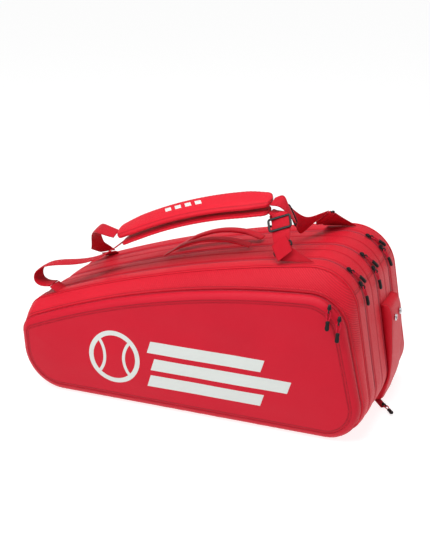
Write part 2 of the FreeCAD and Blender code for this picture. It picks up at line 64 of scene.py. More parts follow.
# ---- shader building
class Wire:
    # one output of a node; arithmetic on it adds Math nodes
    def __init__(self, finish, socket):
        self.finish = finish
        self.socket = socket

    def maths(self, kind, *others):
        return self.finish.node("ShaderNodeMath", {"operation": kind}, [self, *others])

    def __add__(self, other):
        return self.maths("ADD", other)

    def __sub__(self, other):
        return self.maths("SUBTRACT", other)

    def __rsub__(self, other):
        return self.finish.node("ShaderNodeMath", {"operation": "SUBTRACT"}, [other, self])

    def __mul__(self, other):
        return self.maths("MULTIPLY", other)

    def __truediv__(self, other):
        return self.maths("DIVIDE", other)

    def __lt__(self, other):
        return self.maths("LESS_THAN", other)

    __radd__ = __add__
    __rmul__ = __mul__

    def sine(self):
        return self.maths("SINE")

    def size(self):
        return self.maths("ABSOLUTE")

    def fraction(self):
        return self.maths("FRACT")

    def most(self, other):
        return self.maths("MAXIMUM", other)

    def ramp(self, low, high):
        # 0 below low, 1 above high, smooth between
        inputs = {"Value": self, "From Min": low, "From Max": high}
        return self.finish.node("ShaderNodeMapRange", {"interpolation_type": "SMOOTHSTEP"}, inputs)


class Finish:
    # a material under construction: its constants sit on the shader's own sockets
    def __init__(self, name, constants):
        self.material = bpy.data.materials.new(name)
        self.material.use_nodes = True
        self.tree = self.material.node_tree
        self.shader = self.tree.nodes["Principled BSDF"]
        for word, value in constants.items():
            self.shader.inputs[word].default_value = value
        self.madeUv = None

    def node(self, kind, settings=None, inputs=None, output=0):
        made = self.tree.nodes.new(kind)
        for word, value in (settings or {}).items():
            setattr(made, word, value)
        pairs = inputs.items() if isinstance(inputs, dict) else enumerate(inputs or [])
        for word, value in pairs:
            self.feed(made.inputs[word], value)
        return Wire(self, made.outputs[output])

    def feed(self, socket, value):
        if isinstance(value, Wire):
            self.tree.links.new(value.socket, socket)
        else:
            socket.default_value = value

    def uv(self):
        if self.madeUv is None:
            place = self.node("ShaderNodeUVMap", {"uv_map": "metres"})
            self.madeUv = self.split(place)
        return self.madeUv[0], self.madeUv[1]

    def split(self, vector):
        made = self.tree.nodes.new("ShaderNodeSeparateXYZ")
        self.tree.links.new(vector.socket, made.inputs[0])
        return [Wire(self, made.outputs[i]) for i in range(3)]

    def place(self):
        return self.node("ShaderNodeTexCoord", output="Object")

    def attribute(self, name):
        return self.node("ShaderNodeAttribute", {"attribute_name": name}, output="Fac")

    def noise(self, scale, detail=3, vector=None):
        inputs = {"Vector": vector or self.place(), "Scale": scale, "Detail": detail}
        return self.node("ShaderNodeTexNoise", {}, inputs)

    def blend(self, share, first, second):
        made = self.tree.nodes.new("ShaderNodeMix")
        made.data_type = "RGBA"
        self.feed(made.inputs[0], share)
        self.feed(made.inputs[6], first)
        self.feed(made.inputs[7], second)
        return Wire(self, made.outputs[2])

    def colour(self, value):
        self.feed(self.shader.inputs["Base Color"], value)

    def roughness(self, value):
        self.feed(self.shader.inputs["Roughness"], value)

    def bump(self, height, reach, strength=1.0):
        inputs = {"Height": height, "Distance": reach, "Strength": strength}
        self.feed(self.shader.inputs["Normal"], self.node("ShaderNodeBump", {}, inputs))


def shade(red, green, blue):
    # screen colour 0..255 to the shader's linear light
    parts = [((c / 255 + 0.055) / 1.055) ** 2.4 if c > 10 else c / 255 / 12.92 for c in (red, green, blue)]
    return (*parts, 1)


def darker(colour, share):
    return (*[c * share for c in colour[:3]], 1)


clothValues = {
    "weavePitch": 0.0011, "weaveDepth": 0.00006, "creaseScale": 26, "creaseDepth": 0.0012,
    "stitchLength": 0.0042, "stitchGap": 0.3, "stitchHalf": 0.00045,
}


def clothBase(name, base, constants, tint=0.1, weave=1.0, crease=0.35):
    # colour drifts slowly over the cloth, a painted shade darkens a narrow band in the dip along each seam, stitches
    # stand in dashes along the seam attribute, and the bump adds weave, soft creases and the stitches' own thread
    finish = Finish(name, constants)
    v = clothValues
    along, across = finish.uv()
    drift = finish.noise(9, 3)
    fine = finish.noise(240, 2)
    body = finish.blend(drift, darker(base, 1 - tint), darker(base, 1 + tint * 0.6))
    body = finish.blend(fine * 0.12, body, darker(base, 0.72))
    seam = finish.attribute("seam").size()
    dash = (along / v["stitchLength"]).fraction() < 1 - v["stitchGap"]
    thread = (seam < v["stitchHalf"]) * dash
    # painted shade: the cloth next to each seam is darkened to stand for the shade lying in the seam's dip
    pull = 1 - seam.ramp(0.0004, 0.0022)
    body = finish.blend(pull * 0.55, body, darker(base, 0.3))
    body = finish.blend(thread * 0.75, body, darker(base, 1.25))
    turn = 2 * math.pi / v["weavePitch"]
    threads = (along * turn).sine() * (across * turn).sine()
    soft = finish.noise(v["creaseScale"], 4)
    height = threads * (v["weaveDepth"] * weave) + soft * (v["creaseDepth"] * crease) + thread * 0.00025
    return finish, body, height, fine


def finished(finish, body, roughness, height):
    finish.colour(body)
    finish.roughness(roughness)
    finish.bump(height, 1.0, 0.9)
    return finish.material


satin = {
    "Roughness": 0.5, "Sheen Weight": 0.06, "Sheen Roughness": 0.4, "Sheen Tint": (1, 0.3, 0.3, 1),
    "Specular IOR Level": 0.26, "Specular Tint": (1, 0.62, 0.66, 1),
}
reds = {
    "shell": shade(206, 22, 42), "panel": shade(198, 18, 42), "rib": shade(212, 26, 46), "web": shade(196, 14, 36),
    "pad": shade(214, 24, 44), "cord": shade(206, 22, 52), "print": shade(214, 220, 216),
}


def shellCloth():
    finish, body, height, fine = clothBase("shellCloth", reds["shell"], satin)
    return finished(finish, body, 0.4 + fine * 0.14, height)


def liningCloth():
    base = shade(70, 70, 74)
    finish, body, height, fine = clothBase("liningCloth", base, {"Sheen Weight": 0.2}, tint=0.2)
    finish.colour(body)
    finish.roughness(0.6 + fine * 0.2)
    finish.bump(height, 1.0, 0.8)
    return finish.material


printValues = {
    "ballX": -0.142, "ballZ": 0.102, "ballRadius": 0.056, "ring": 0.010, "seamSwing": 0.074, "slant": 0.32,
    "bars": ((-0.066, 0.172, 0.136, 0.0125), (-0.058, 0.226, 0.100, 0.0125), (-0.066, 0.172, 0.064, 0.0125)),
}


def pocketCloth():
    # the print is a plain ball and three slanted speed bars: distances from a circle and from
    # straight bars on the cloth's own x and z
    finish, body, height, fine = clothBase("pocketCloth", reds["panel"], satin, tint=0.08)
    v = printValues
    x, _, z = finish.split(finish.place())
    farX, farZ = x - v["ballX"], z - v["ballZ"]
    reach = (farX * farX + farZ * farZ).maths("SQRT")
    ring = (reach - (v["ballRadius"] - v["ring"] / 2)).size() < v["ring"] / 2
    mark = ring
    for side in (-1, 1):
        away = farX - side * v["seamSwing"]
        arc = (away * away + farZ * farZ).maths("SQRT")
        seam = ((arc - v["seamSwing"] * 0.72).size() < 0.0032) * (reach < v["ballRadius"] - v["ring"] / 2)
        mark = mark.most(seam)
    for start, end, level, half in v["bars"]:
        lean = x - (z - level) * v["slant"]
        bar = ((z - level).size() < half) * ((lean - (start + end) / 2).size() < (end - start) / 2)
        mark = mark.most(bar)
    ink = finish.blend(fine * 0.2, reds["print"], darker(reds["print"], 0.86))
    return finished(finish, finish.blend(mark, body, ink), 0.4 + fine * 0.14 + mark * 0.08, height + mark * 0.00012)


ribValues = {"pitch": 0.0056, "lean": 1.5, "dotPitch": 0.0034, "depth": 0.0005}


def ribbedCloth():
    # slanting ribs broken into short dashes, strongest on the upper middle of the panel
    finish, body, height, fine = clothBase("ribbedCloth", reds["rib"], satin)
    v = ribValues
    x, _, z = finish.split(finish.place())
    lines = ((x + z * v["lean"]) * (2 * math.pi / v["pitch"])).sine()
    dots = ((z - x * v["lean"]) * (2 * math.pi / v["dotPitch"])).sine()
    rib = (lines + dots * 0.35).ramp(-0.4, 0.9)
    where = x.ramp(-0.22, -0.02) * z.ramp(0.16, 0.2)
    finish.colour(finish.blend(rib * where * 0.45, body, darker(reds["rib"], 0.5)))
    finish.roughness(0.42 + rib * where * 0.12 + fine * 0.1)
    finish.bump(height - rib * where * v["depth"], 1.0, 0.9)
    return finish.material


padMark = {"start": 0.124, "step": 0.023, "share": 0.6, "count": 4, "middle": 0.004, "half": 0.007, "lean": -0.5}


def padCloth():
    # a few plain slanting bars stand where a pad carries its small mark, on the pad's own length and width
    finish, body, height, fine = clothBase("padCloth", reds["pad"], satin, weave=1.4, crease=0.5)
    v = padMark
    along, across = finish.uv()
    level = (across - v["middle"]).size()
    leaned = (along - (across - v["middle"]) * v["lean"] - v["start"]) / v["step"]
    inside = (leaned < v["count"]) * (1 - (leaned < 0))
    mark = inside * (leaned.fraction() < v["share"]) * (level < v["half"]) * finish.attribute("edge")
    finish.colour(finish.blend(mark, body, reds["print"]))
    finish.roughness(0.42 + fine * 0.14)
    finish.bump(height, 1.0, 0.9)
    return finish.material


def webCloth():
    # flat webbing: ribs across the width, a tight edge and a slow drift of colour
    finish = Finish("webCloth", {**satin, "Roughness": 0.55})
    along, across = finish.uv()
    edge = finish.attribute("edge")
    rib = (along * (2 * math.pi / 0.0016)).sine()
    twill = ((along + across * 1.6) * (2 * math.pi / 0.0028)).sine()
    drift = finish.noise(14, 3)
    body = finish.blend(drift, darker(reds["web"], 0.9), darker(reds["web"], 1.08))
    body = finish.blend((rib * 0.5 + 0.5) * 0.16, body, darker(reds["web"], 0.6))
    body = finish.blend(edge.ramp(0.84, 0.9) * 0.3, body, darker(reds["web"], 0.6))
    finish.colour(body)
    finish.roughness(0.5 + rib * 0.06)
    finish.bump(rib * 0.00012 + twill * 0.00006 + finish.noise(30, 3) * 0.0004, 1.0, 0.9)
    return finish.material


def plainFinish(name, base, constants, scale, tint, bump):
    # moulded or metal surface: slow tint, fine grain, brighter worn patches
    finish = Finish(name, constants)
    grain = finish.noise(scale, 4)
    wear = finish.noise(90, 3).ramp(0.58, 0.8)
    body = finish.blend(grain, darker(base, 1 - tint), darker(base, 1 + tint))
    finish.colour(finish.blend(wear * 0.15, body, darker(base, 1.5)))
    finish.roughness(constants["Roughness"] + grain * 0.12 - wear * 0.06)
    finish.bump(grain, bump, 0.7)
    return finish.material


def cordFinish():
    # braid: two sets of slanting threads on the cord's own length and round
    finish = Finish("cordCloth", {**satin, "Roughness": 0.6})
    place = finish.split(finish.place())
    spread = (place[0] + place[1] + place[2]) * (2 * math.pi / 0.0016)
    cross = (place[0] - place[1] + place[2]) * (2 * math.pi / 0.0016)
    braid = (spread.sine() * cross.sine()) * 0.5 + 0.5
    finish.colour(finish.blend(braid * 0.5, reds["cord"], darker(reds["cord"], 0.55)))
    finish.roughness(0.55 + braid * 0.12)
    finish.bump(braid, 0.0002, 0.8)
    return finish.material


materials = {
    "shell": shellCloth(), "lining": liningCloth(), "pocket": pocketCloth(), "ribbed": ribbedCloth(),
    "pad": padCloth(), "web": webCloth(), "cord": cordFinish(),
    "zip": plainFinish("zipCoil", shade(168, 16, 42), {"Roughness": 0.42}, 400, 0.2, 0.0001),
    "hardware": plainFinish("hardwareBlack", shade(22, 22, 24), {"Roughness": 0.34, "Specular IOR Level": 0.3},
                            500, 0.3, 0.00008),
    "rubber": plainFinish("rubberBlack", shade(16, 15, 16), {"Roughness": 0.5, "Specular IOR Level": 0.25},
                          700, 0.3, 0.00012),
    "metal": plainFinish("eyeletMetal", shade(206, 208, 212), {"Roughness": 0.22, "Metallic": 1.0},
                         300, 0.08, 0.00004),
    # painted shade: dark material for the discs that fill the eyelet holes, standing for the shade inside the end
    # pocket
    "mesh": plainFinish("eyeletHoleShade", shade(34, 12, 16), {"Roughness": 0.8}, 900, 0.5, 0.0003),
}
print("materials made:", len(materials))


# ---- meshes from grids
def unit(vector):
    vector = np.asarray(vector, float)
    return vector / np.linalg.norm(vector, axis=-1, keepdims=True)


def smooth(low, high, value):
    share = np.clip((value - low) / (high - low), 0, 1)
    return share * share * (3 - 2 * share)


def quads(rows, cols, wrapRows=False, wrapCols=False):
    # each point with its next in the row, and the same two in the row after
    r = np.arange(rows if wrapRows else rows - 1)[:, None]
    c = np.arange(cols if wrapCols else cols - 1)[None, :]
    far, right = (r + 1) % rows, (c + 1) % cols
    return np.stack([r * cols + c, r * cols + right, far * cols + right, far * cols + c], -1).reshape(-1, 4)


def reach(points):
    # running length along the first axis
    steps = np.linalg.norm(np.diff(points, axis=0), axis=1)
    return np.concatenate([[0], np.cumsum(steps)])


def gridPart(points, wrapRows=False, wrapCols=False, seam=None, edge=None, uv=None, capped=True):
    # a grid of points as one closed skin: ends that don't wrap are closed with a fan on a middle point
    rows, cols = points.shape[:2]
    faces = [quads(rows, cols, wrapRows, wrapCols)]
    flat = points.reshape(-1, 3)
    if uv is None:
        alongRows = reach(points[:, cols // 3])
        alongCols = reach(points[rows // 2])
        uv = np.stack(np.broadcast_arrays(alongRows[:, None], alongCols[None, :]), -1)
    uv = uv.reshape(-1, 2) * 0.001
    seam = np.full(len(flat), 1000.0) if seam is None else np.broadcast_to(seam, (rows, cols)).reshape(-1)
    edge = np.zeros(len(flat)) if edge is None else np.broadcast_to(edge, (rows, cols)).reshape(-1)
    fans = []
    if wrapCols and not wrapRows and capped:
        for row, turn in ((0, 1), (rows - 1, 0)):
            ring = row * cols + np.arange(cols)
            after = row * cols + (np.arange(cols) + 1) % cols
            middle = np.full(cols, len(flat))
            fans.append(np.stack([middle, after, ring] if turn else [middle, ring, after], -1))
            flat = np.vstack([flat, points[row].mean(0)])
            uv = np.vstack([uv, uv[ring].mean(0)])
            seam, edge = np.append(seam, 1000.0), np.append(edge, 0)
    return {"points": flat, "faces": faces, "fans": fans, "uv": uv, "seam": seam, "edge": edge}


def slabPart(front, back, seam=None, uv=None):
    # two grids of the same size, front and back, joined round their rims
    rows, cols = front.shape[:2]
    count = rows * cols
    inner = quads(rows, cols)
    number = np.arange(count).reshape(rows, cols)
    rim = np.concatenate([number[0, :-1], number[:-1, -1], number[-1, :0:-1], number[:0:-1, 0]])
    after = np.roll(rim, -1)
    faces = [inner, inner[:, ::-1] + count, np.stack([after, rim, rim + count, after + count], -1)]
    uv = front[..., [0, 2]] if uv is None else uv
    uv = np.concatenate([uv.reshape(-1, 2)] * 2) * 0.001
    seam = np.full(count, 1000.0) if seam is None else seam.reshape(-1)
    points = np.vstack([front.reshape(-1, 3), back.reshape(-1, 3)])
    return {"points": points, "faces": faces, "fans": [], "uv": uv, "seam": np.concatenate([seam, seam * 0 + 1000]),
            "edge": np.zeros(2 * count)}


def outward(part):
    # a closed skin whose signed volume is negative is inside out, so its faces are turned
    points = part["points"]
    volume = 0
    for group in part["faces"] + part["fans"]:
        first = points[group[:, 0]]
        for second, third in ((1, 2), (2, 3))[:group.shape[1] - 2]:
            volume += np.einsum("ij,ij->i", first, np.cross(points[group[:, second]], points[group[:, third]])).sum()
    if volume < 0:
        part["faces"] = [group[:, ::-1] for group in part["faces"]]
        part["fans"] = [group[:, ::-1] for group in part["fans"]]
    return part


def piece(name, parts, material, body, replaced=(), blendWith=None):
    # joins the parts into one mesh with a map in metres and the two attributes that the cloth reads
    points, faces, uv, seam, edge, first = [], [], [], [], [], 0
    for part in map(outward, parts):
        for group in part["faces"] + part["fans"]:
            faces.extend((group + first).tolist())
        points.append(part["points"])
        uv.append(part["uv"])
        seam.append(part["seam"])
        edge.append(part["edge"])
        first += len(part["points"])
    mesh = bpy.data.meshes.new(name)
    mesh.from_pydata((np.vstack(points) * 0.001).tolist(), [], faces)
    corners = np.empty(len(mesh.loops), np.int32)
    mesh.loops.foreach_get("vertex_index", corners)
    mesh.uv_layers.new(name="metres").data.foreach_set("uv", np.vstack(uv)[corners].astype(np.float32).ravel())
    for word, values in (("seam", np.concatenate(seam) * 0.001), ("edge", np.concatenate(edge))):
        mesh.attributes.new(word, "FLOAT", "POINT").data.foreach_set("value", values.astype(np.float32))
    mesh.polygons.foreach_set("use_smooth", np.ones(len(mesh.polygons), bool))
    mesh.materials.append(materials[material])
    mesh.validate()
    made = bpy.data.objects.new(name, mesh)
    scene.collection.objects.link(made)
    if blendWith:
        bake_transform(made)
    else:
        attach(made, body)
    if replaced:
        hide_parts(*replaced)
    return made


# ---- zip pulls and their cords
pullValues = {
    "eyeReach": 8.1, "eyeLift": 4.3, "cord": 2.2,
    "gripStart": 17.0, "gripLength": 19.0, "gripWidth": 8.4, "gripThick": 5.6,
    "loop": [(-1.5, 17), (-3.2, 11), (-4, 5), (-2.8, 0), (2.8, 0), (4, 5), (3.2, 11), (1.5, 17)],
    "length": 0.0390, "bend": 96,
}
shellCorner, pocketCorner = (250, 240, 88), (255, 212, 74)
# name, corner circle, y, degrees round it, veer of the pull
cornerPulls = [
    ("front_zip_upper", shellCorner, -66, 54, 28), ("front_zip_lower", shellCorner, -66, 32, -8),
    ("middle_zip_upper", shellCorner, 26, 54, 28), ("middle_zip_lower", shellCorner, 26, 32, -6),
    ("rear_zip_upper", shellCorner, 118, 64, 28), ("rear_zip_lower", shellCorner, 118, 42, -5),
    ("pocket_zip_upper", pocketCorner, -165, 55, None), ("pocket_zip_lower", pocketCorner, -165, 33, None),
]


def pullFrame(place, along, lift, veer, bend):
    along, lift = unit(along), unit(lift)
    side = np.cross(lift, along)
    swing = math.radians(veer)
    eye = np.array(place, float) + along * pullValues["eyeReach"] + lift * pullValues["eyeLift"]
    return {"place": np.array(place, float), "along": along, "lift": lift, "side": side, "eye": eye, "bend": bend,
            "ahead": along * math.cos(swing) + side * math.sin(swing),
            "across": side * math.cos(swing) - along * math.sin(swing)}


def laid(pull, aside, ahead, up=0.0):
    # sideways, ahead and up of the eye, sinking along a circle of the bend radius
    aside, ahead, up = np.broadcast_arrays(*(np.asarray(part, float) for part in (aside, ahead, up)))
    bend = pull["bend"]
    sink = bend - np.sqrt(bend ** 2 - ahead ** 2) if bend else 0 * ahead
    return (pull["eye"] + pull["ahead"] * ahead[..., None] + pull["across"] * aside[..., None]
            + pull["lift"] * (up - sink)[..., None])


pulls = {}
for name, (cornerX, cornerZ, radius), y, degrees, veer in cornerPulls:
    out = np.array([math.cos(math.radians(degrees)), 0, math.sin(math.radians(degrees))])
    place = np.array([cornerX, y, cornerZ]) + out * radius
    if veer is None:
        pulls[name] = pullFrame(place, (0.02, -0.35, -1), (0, -1, 0.35), 0, 0)
    else:
        pulls[name] = pullFrame(place, (out[2], 0, -out[0]), out, veer, pullValues["bend"])
pulls["shoe_zip"] = pullFrame((365, 14, 2.4), (0.6, -0.8, 0), (0, 0, 1), 0, 0)


def spoken(name):
    words = name.split("_")
    return words[0] + "".join(word.capitalize() for word in words[1:])


def superRound(count, width, thick, power):
    # closed rounded rectangle: both coordinates are powers of cosine and sine
    angle = np.linspace(0, 2 * math.pi, count, endpoint=False)
    c, s = np.cos(angle), np.sin(angle)
    return np.sign(c) * np.abs(c) ** (2 / power) * width / 2, np.sign(s) * np.abs(s) ** (2 / power) * thick / 2


def gripPart(pull):
    # rounded section carried ahead, narrow at the waist, closed ends, with cross ribs on the far half
    v = pullValues
    share = (1 - np.cos(np.linspace(0, math.pi, 44))) / 2
    close = np.sqrt(np.clip(1 - (2 * share - 1) ** 8, 0, 1))
    waist = 1 - 0.2 * np.exp(-((share - 0.38) / 0.2) ** 2) - 0.12 * smooth(0.7, 1, share)
    ribs = 0.28 * np.cos(share * math.pi * 16) * smooth(0.4, 0.5, share) * (1 - smooth(0.88, 0.95, share))
    across, up = superRound(28, 1, 1, 3)
    aside = across[None, :] * ((v["gripWidth"] * waist * close)[:, None])
    rise = up[None, :] * ((v["gripThick"] * (0.9 + 0.1 * waist) * close + ribs)[:, None])
    ahead = v["gripStart"] + share[:, None] * v["gripLength"] + 0 * aside
    grip = laid(pull, 0 * aside, ahead)
    tilt = laid(pull, 0 * aside, ahead + 0.5) - laid(pull, 0 * aside, ahead - 0.5)
    normal = np.cross(tilt, pull["across"])
    points = grip + pull["across"] * aside[..., None] + unit(normal) * rise[..., None]
    return gridPart(points, wrapCols=True)


for name, pull in pulls.items():
    curve = bpy.data.curves.new(spoken(name) + "PullCord", "CURVE")
    curve.dimensions = "3D"
    curve.bevel_depth = pullValues["cord"] / 2 * 0.001
    curve.bevel_resolution = 5
    curve.use_fill_caps = True
    route = laid(pull, *np.array(pullValues["loop"], float).T) * 0.001
    spline = curve.splines.new("NURBS")
    spline.points.add(len(route) - 1)
    for point, place in zip(spline.points, route):
        point.co = (*place, 1)
    spline.order_u = 3
    spline.use_endpoint_u = True
    spline.resolution_u = 12
    curve.materials.append(materials["cord"])
    cordPiece = bpy.data.objects.new(spoken(name) + "PullCord", curve)
    scene.collection.objects.link(cordPiece)
    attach(cordPiece, name + "_pull")
    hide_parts(name + "_pull_cord")
    grip = piece(spoken(name) + "PullGrip", [gripPart(pull)], "rubber", name + "_pull",
                 [name + "_pull_end"])
    tuple(pull["eye"] * 0.001)
print("pull cords made:", len(pulls))


def torusPart(centre, normal, along, radius, tube, around=36, section=14, flat=1.0):
    # circle carried round a circle
    normal, along = unit(normal), unit(along)
    other = np.cross(normal, along)
    a = np.linspace(0, 2 * math.pi, around, endpoint=False)[:, None]
    b = np.linspace(0, 2 * math.pi, section, endpoint=False)[None, :]
    out = along * np.cos(a)[..., None] + other * np.sin(a)[..., None]
    far = (radius + tube * np.cos(b))[..., None]
    return gridPart(np.asarray(centre) + out * far + normal * (tube * flat * np.sin(b))[..., None], True, True)


def sliderParts(pull):
    # body: rounded section carried along the zip, wide at the nose, with a slot for the tape at half height;
    # bridge: half ring over the body; eye: ring that the cord passes through
    share = (1 - np.cos(np.linspace(0, math.pi, 40))) / 2
    close = np.sqrt(np.clip(1 - (2 * share - 1) ** 6, 0, 1))
    width = 8 * (0.72 + 0.28 * smooth(0.25, 0.75, share)) * close
    across, up = superRound(40, 1, 1, 5)
    slotted = 1 - 0.3 * np.exp(-(up / 0.13) ** 2) * (np.abs(across) > 0.3)
    height = 4.2 * (0.86 + 0.14 * np.sin(math.pi * share)) * close
    along = -5.5 + 11 * share
    body = (pull["place"] + pull["along"] * (along[:, None] + 0 * across)[..., None]
            + pull["side"] * (width[:, None] * (across * slotted)[None, :])[..., None]
            + pull["lift"] * (2.7 + height[:, None] * up[None, :])[..., None])
    arch = np.linspace(0, math.pi, 20)
    centre = (pull["place"] + pull["along"] * (-3.4 + 6.6 * (1 - np.cos(arch)) / 2)[:, None]
              + pull["lift"] * (4.5 + 1.9 * np.sin(arch))[:, None])
    bridge = tubePart(centre, np.full(len(arch), 1.0), pull["side"], 2.4, 1.2)
    eye = torusPart(pull["eye"], pull["side"], pull["along"], 3, 1.15)
    return [gridPart(body, wrapCols=True), bridge, eye]


def tubePart(centre, scale, across, width, thick, power=2.6, count=16):
    # rounded section carried along a line, its width along a fixed direction
    tangent = unit(np.gradient(centre, axis=0))
    across = unit(across - tangent * np.sum(tangent * across, -1, keepdims=True))
    up = np.cross(tangent, across)
    a, b = superRound(count, width, thick, power)
    scale = np.asarray(scale)[:, None]
    return gridPart(centre[:, None] + across[:, None] * (scale * a)[..., None] + up[:, None] * (scale * b)[..., None],
                    wrapCols=True)


for name, pull in pulls.items():
    piece(spoken(name) + "Slider", sliderParts(pull), "hardware", name + "_slide",
          [name + "_slider"])
print("sliders made")


# ---- outlines seen from the front: four corner circles, three straight sides and a long top arc
outlines = {
    "shell": {"corners": [(-268, 95, 95), (294, 72, 72), (250, 240, 88), (-322, 138, 45)], "top": 2500},
    "pocket": {"corners": [(-268, 92, 89), (294, 70, 67), (255, 212, 74), (-328, 122, 31)], "top": 1700},
}


def tangentAngle(first, second):
    # outward direction of the straight side that touches two circles
    stepX, stepZ = second[0] - first[0], second[1] - first[1]
    return math.atan2(stepZ, stepX) - math.acos((first[2] - second[2]) / math.hypot(stepX, stepZ))


def outlineCurves(shape):
    bl, br, tr, tl = shape["corners"]
    a, b = shape["top"] - tr[2], shape["top"] - tl[2]
    step = np.array([tl[0] - tr[0], tl[1] - tr[1]], float)
    far = np.linalg.norm(step)
    along = (a * a - b * b + far * far) / (2 * far)
    step /= far
    crown = np.array(tr[:2]) + step * along + np.array([-step[1], step[0]]) * math.sqrt(a * a - along * along)
    base, right, left = tangentAngle(bl, br), tangentAngle(br, tr), tangentAngle(tl, bl)
    toRight = math.atan2(tr[1] - crown[1], tr[0] - crown[0])
    toLeft = math.atan2(tl[1] - crown[1], tl[0] - crown[0])
    turns = [base, right, right, toRight, toRight, toLeft, left, left, base]
    circles = [None, br, None, tr, (crown[0], crown[1], shape["top"]), tl, None, bl]
    pairs = {0: (bl, br), 2: (br, tr), 6: (tl, bl)}
    curves = []
    for index in range(8):
        if index in pairs:
            angle = turns[index] if index != 6 else left
            curves.append(("line", *pairs[index], angle))
        else:
            low = {1: base, 3: right, 4: toRight, 5: toLeft, 7: left}[index]
            high = {1: right, 3: toRight, 4: toLeft, 5: left, 7: base}[index]
            while high < low:
                high += 2 * math.pi
            curves.append(("arc", circles[index], low, high))
    return curves


for shape in outlines.values():
    shape["curves"] = outlineCurves(shape)


def outlineAt(name, station):
    # x, z and the outward x, z at stations 0..8, one unit for each of the eight curves
    station = np.mod(np.asarray(station, float), 8)
    x, z, nx, nz = (np.zeros_like(station) for _ in range(4))
    for index, curve in enumerate(outlines[name]["curves"]):
        here = (station >= index) & (station < index + 1)
        share = station[here] - index
        if curve[0] == "line":
            _, first, second, angle = curve
            c, s = math.cos(angle), math.sin(angle)
            start = np.array([first[0] + c * first[2], first[1] + s * first[2]])
            end = np.array([second[0] + c * second[2], second[1] + s * second[2]])
            x[here] = start[0] + (end[0] - start[0]) * share
            z[here] = start[1] + (end[1] - start[1]) * share
            nx[here], nz[here] = c, s
        else:
            _, (cx, cz, radius), low, high = curve
            angle = low + (high - low) * share
            nx[here], nz[here] = np.cos(angle), np.sin(angle)
            x[here], z[here] = cx + radius * nx[here], cz + radius * nz[here]
    return x, z, nx, nz


def raised(x, z, nx, nz, offset, y):
    # the outline's points moved outward by offset, at the depth y
    x, z = x[:, None] + nx[:, None] * offset, z[:, None] + nz[:, None] * offset
    return np.stack(np.broadcast_arrays(x, y, z), -1)


def spread(name, start, end, count, closed=False):
    # stations evenly spaced by length between two stations
    dense = np.linspace(start, end, 6000)
    x, z, _, _ = outlineAt(name, dense)
    far = np.concatenate([[0], np.cumsum(np.hypot(np.diff(x), np.diff(z)))])
    steps = np.linspace(0, far[-1], count + 1)[:-1] if closed else np.linspace(0, far[-1], count)
    return np.interp(steps, far, dense), steps


def above(name, level):
    # first and last station of the outline over a height
    dense = np.linspace(1, 8, 7001)
    z = outlineAt(name, dense)[1]
    found = dense[z >= level]
    return found[0], found[-1]


def ripple(along, across, seed):
    # slow uneven fullness of stuffed cloth: four waves of unrelated lengths, from -1 to 1
    return (0.4 * np.sin(along / 41 + across / 23 + seed) + 0.3 * np.sin(along / 23.7 - across / 31 + 2.1 * seed)
            + 0.2 * np.sin(along / 67 + across / 13 + 0.7 * seed) + 0.1 * np.sin(along / 11.3 + 3.3 * seed))


# ---- gussets: the padded bands between the zips
gussetValues = {
    "around": 700, "wall": 4.0, "fullness": 1.8, "edgeDrop": 1.8, "stitchIn": 4.0, "stitchDip": 0.8, "ripple": 0.5,
    "midDip": 1.5, "endSeam": 3.22, "baseSink": 1.6, "liftedBy": 34,
}


def gussetPart(y0, y1, middle, seed, endSeam=None):
    # section: a crown pinched at both edges and at the middle seam, with a dip along each stitch line;
    # it is carried round the shell outline, flat where the bag stands
    v = gussetValues
    stations, far = spread("shell", 0, 8, v["around"], True)
    x, z, nx, nz = outlineAt("shell", stations)
    share = (1 - np.cos(np.linspace(0, math.pi, 45))) / 2
    y = y0 + (y1 - y0) * share
    toEdge = np.minimum(y - y0, y1 - y)
    crown = (1 - np.abs(2 * share - 1) ** 2.6) * v["fullness"] - v["edgeDrop"] * np.exp(-toEdge / 2.2)
    stitch = np.minimum(np.abs(y - y0 - v["stitchIn"]), np.abs(y1 - y - v["stitchIn"]))
    dip = v["stitchDip"] * np.exp(-(stitch / 1.1) ** 2)
    if middle is not None:
        dip = dip + v["midDip"] * np.exp(-((y - middle) / 2.6) ** 2)
        stitch = np.minimum(stitch, np.abs(np.abs(y - middle) - 2.4))
    lifted = smooth(0, v["liftedBy"], z)[:, None]
    wave = v["ripple"] * ripple(far[:, None], y[None, :], seed) * np.sin(math.pi * share)[None, :]
    offset = (crown - dip)[None, :] * (0.25 + 0.75 * lifted) + wave * lifted
    offset = offset - v["baseSink"] * (1 - lifted) * np.sin(math.pi * share)[None, :]
    endAt = endSeam if endSeam is not None else v["endSeam"]
    seamFar = np.interp(endAt, stations, far)
    across = np.abs(far - seamFar)[:, None]
    offset = offset - 0.8 * np.exp(-(across / 1.6) ** 2)
    seam = np.minimum(stitch[None, :] + 0 * across, np.abs(across - 2.5) + 0 * stitch[None, :])
    outer = raised(x, z, nx, nz, offset, y[None, :])
    outer[..., 2] = np.maximum(outer[..., 2], 0.05)
    innerY = np.linspace(y1, y0, 7)
    inner = raised(x, z, nx, nz, -v["wall"] + 0 * innerY[None, :], innerY[None, :])
    points = np.concatenate([outer, inner], 1)
    seam = np.concatenate([seam, np.full((len(stations), 7), 1000.0)], 1)
    return gridPart(points, True, True, seam=seam)


gussets = [
    ("frontGusset", -112.0, -68.9, None, "front_shell", "front_gusset", 1.0),
    ("frontDividerGusset", -63.1, 23.1, -20, "front_middle", "front_divider_gusset", 2.3),
    ("rearDividerGusset", 28.9, 115.1, 72, "rear_middle", "rear_divider_gusset", 4.1),
    ("rearGusset", 120.9, 165.0, None, "rear_shell", "rear_gusset", 5.7),
]
for name, y0, y1, middle, body, node, seed in gussets:
    made = piece(name, [gussetPart(y0, y1, middle, seed)], "shell", body, [node])
print("gussets made")


# ---- piping along the seams
pipeValues = {"radius": 1.7, "around": 520, "section": 10}


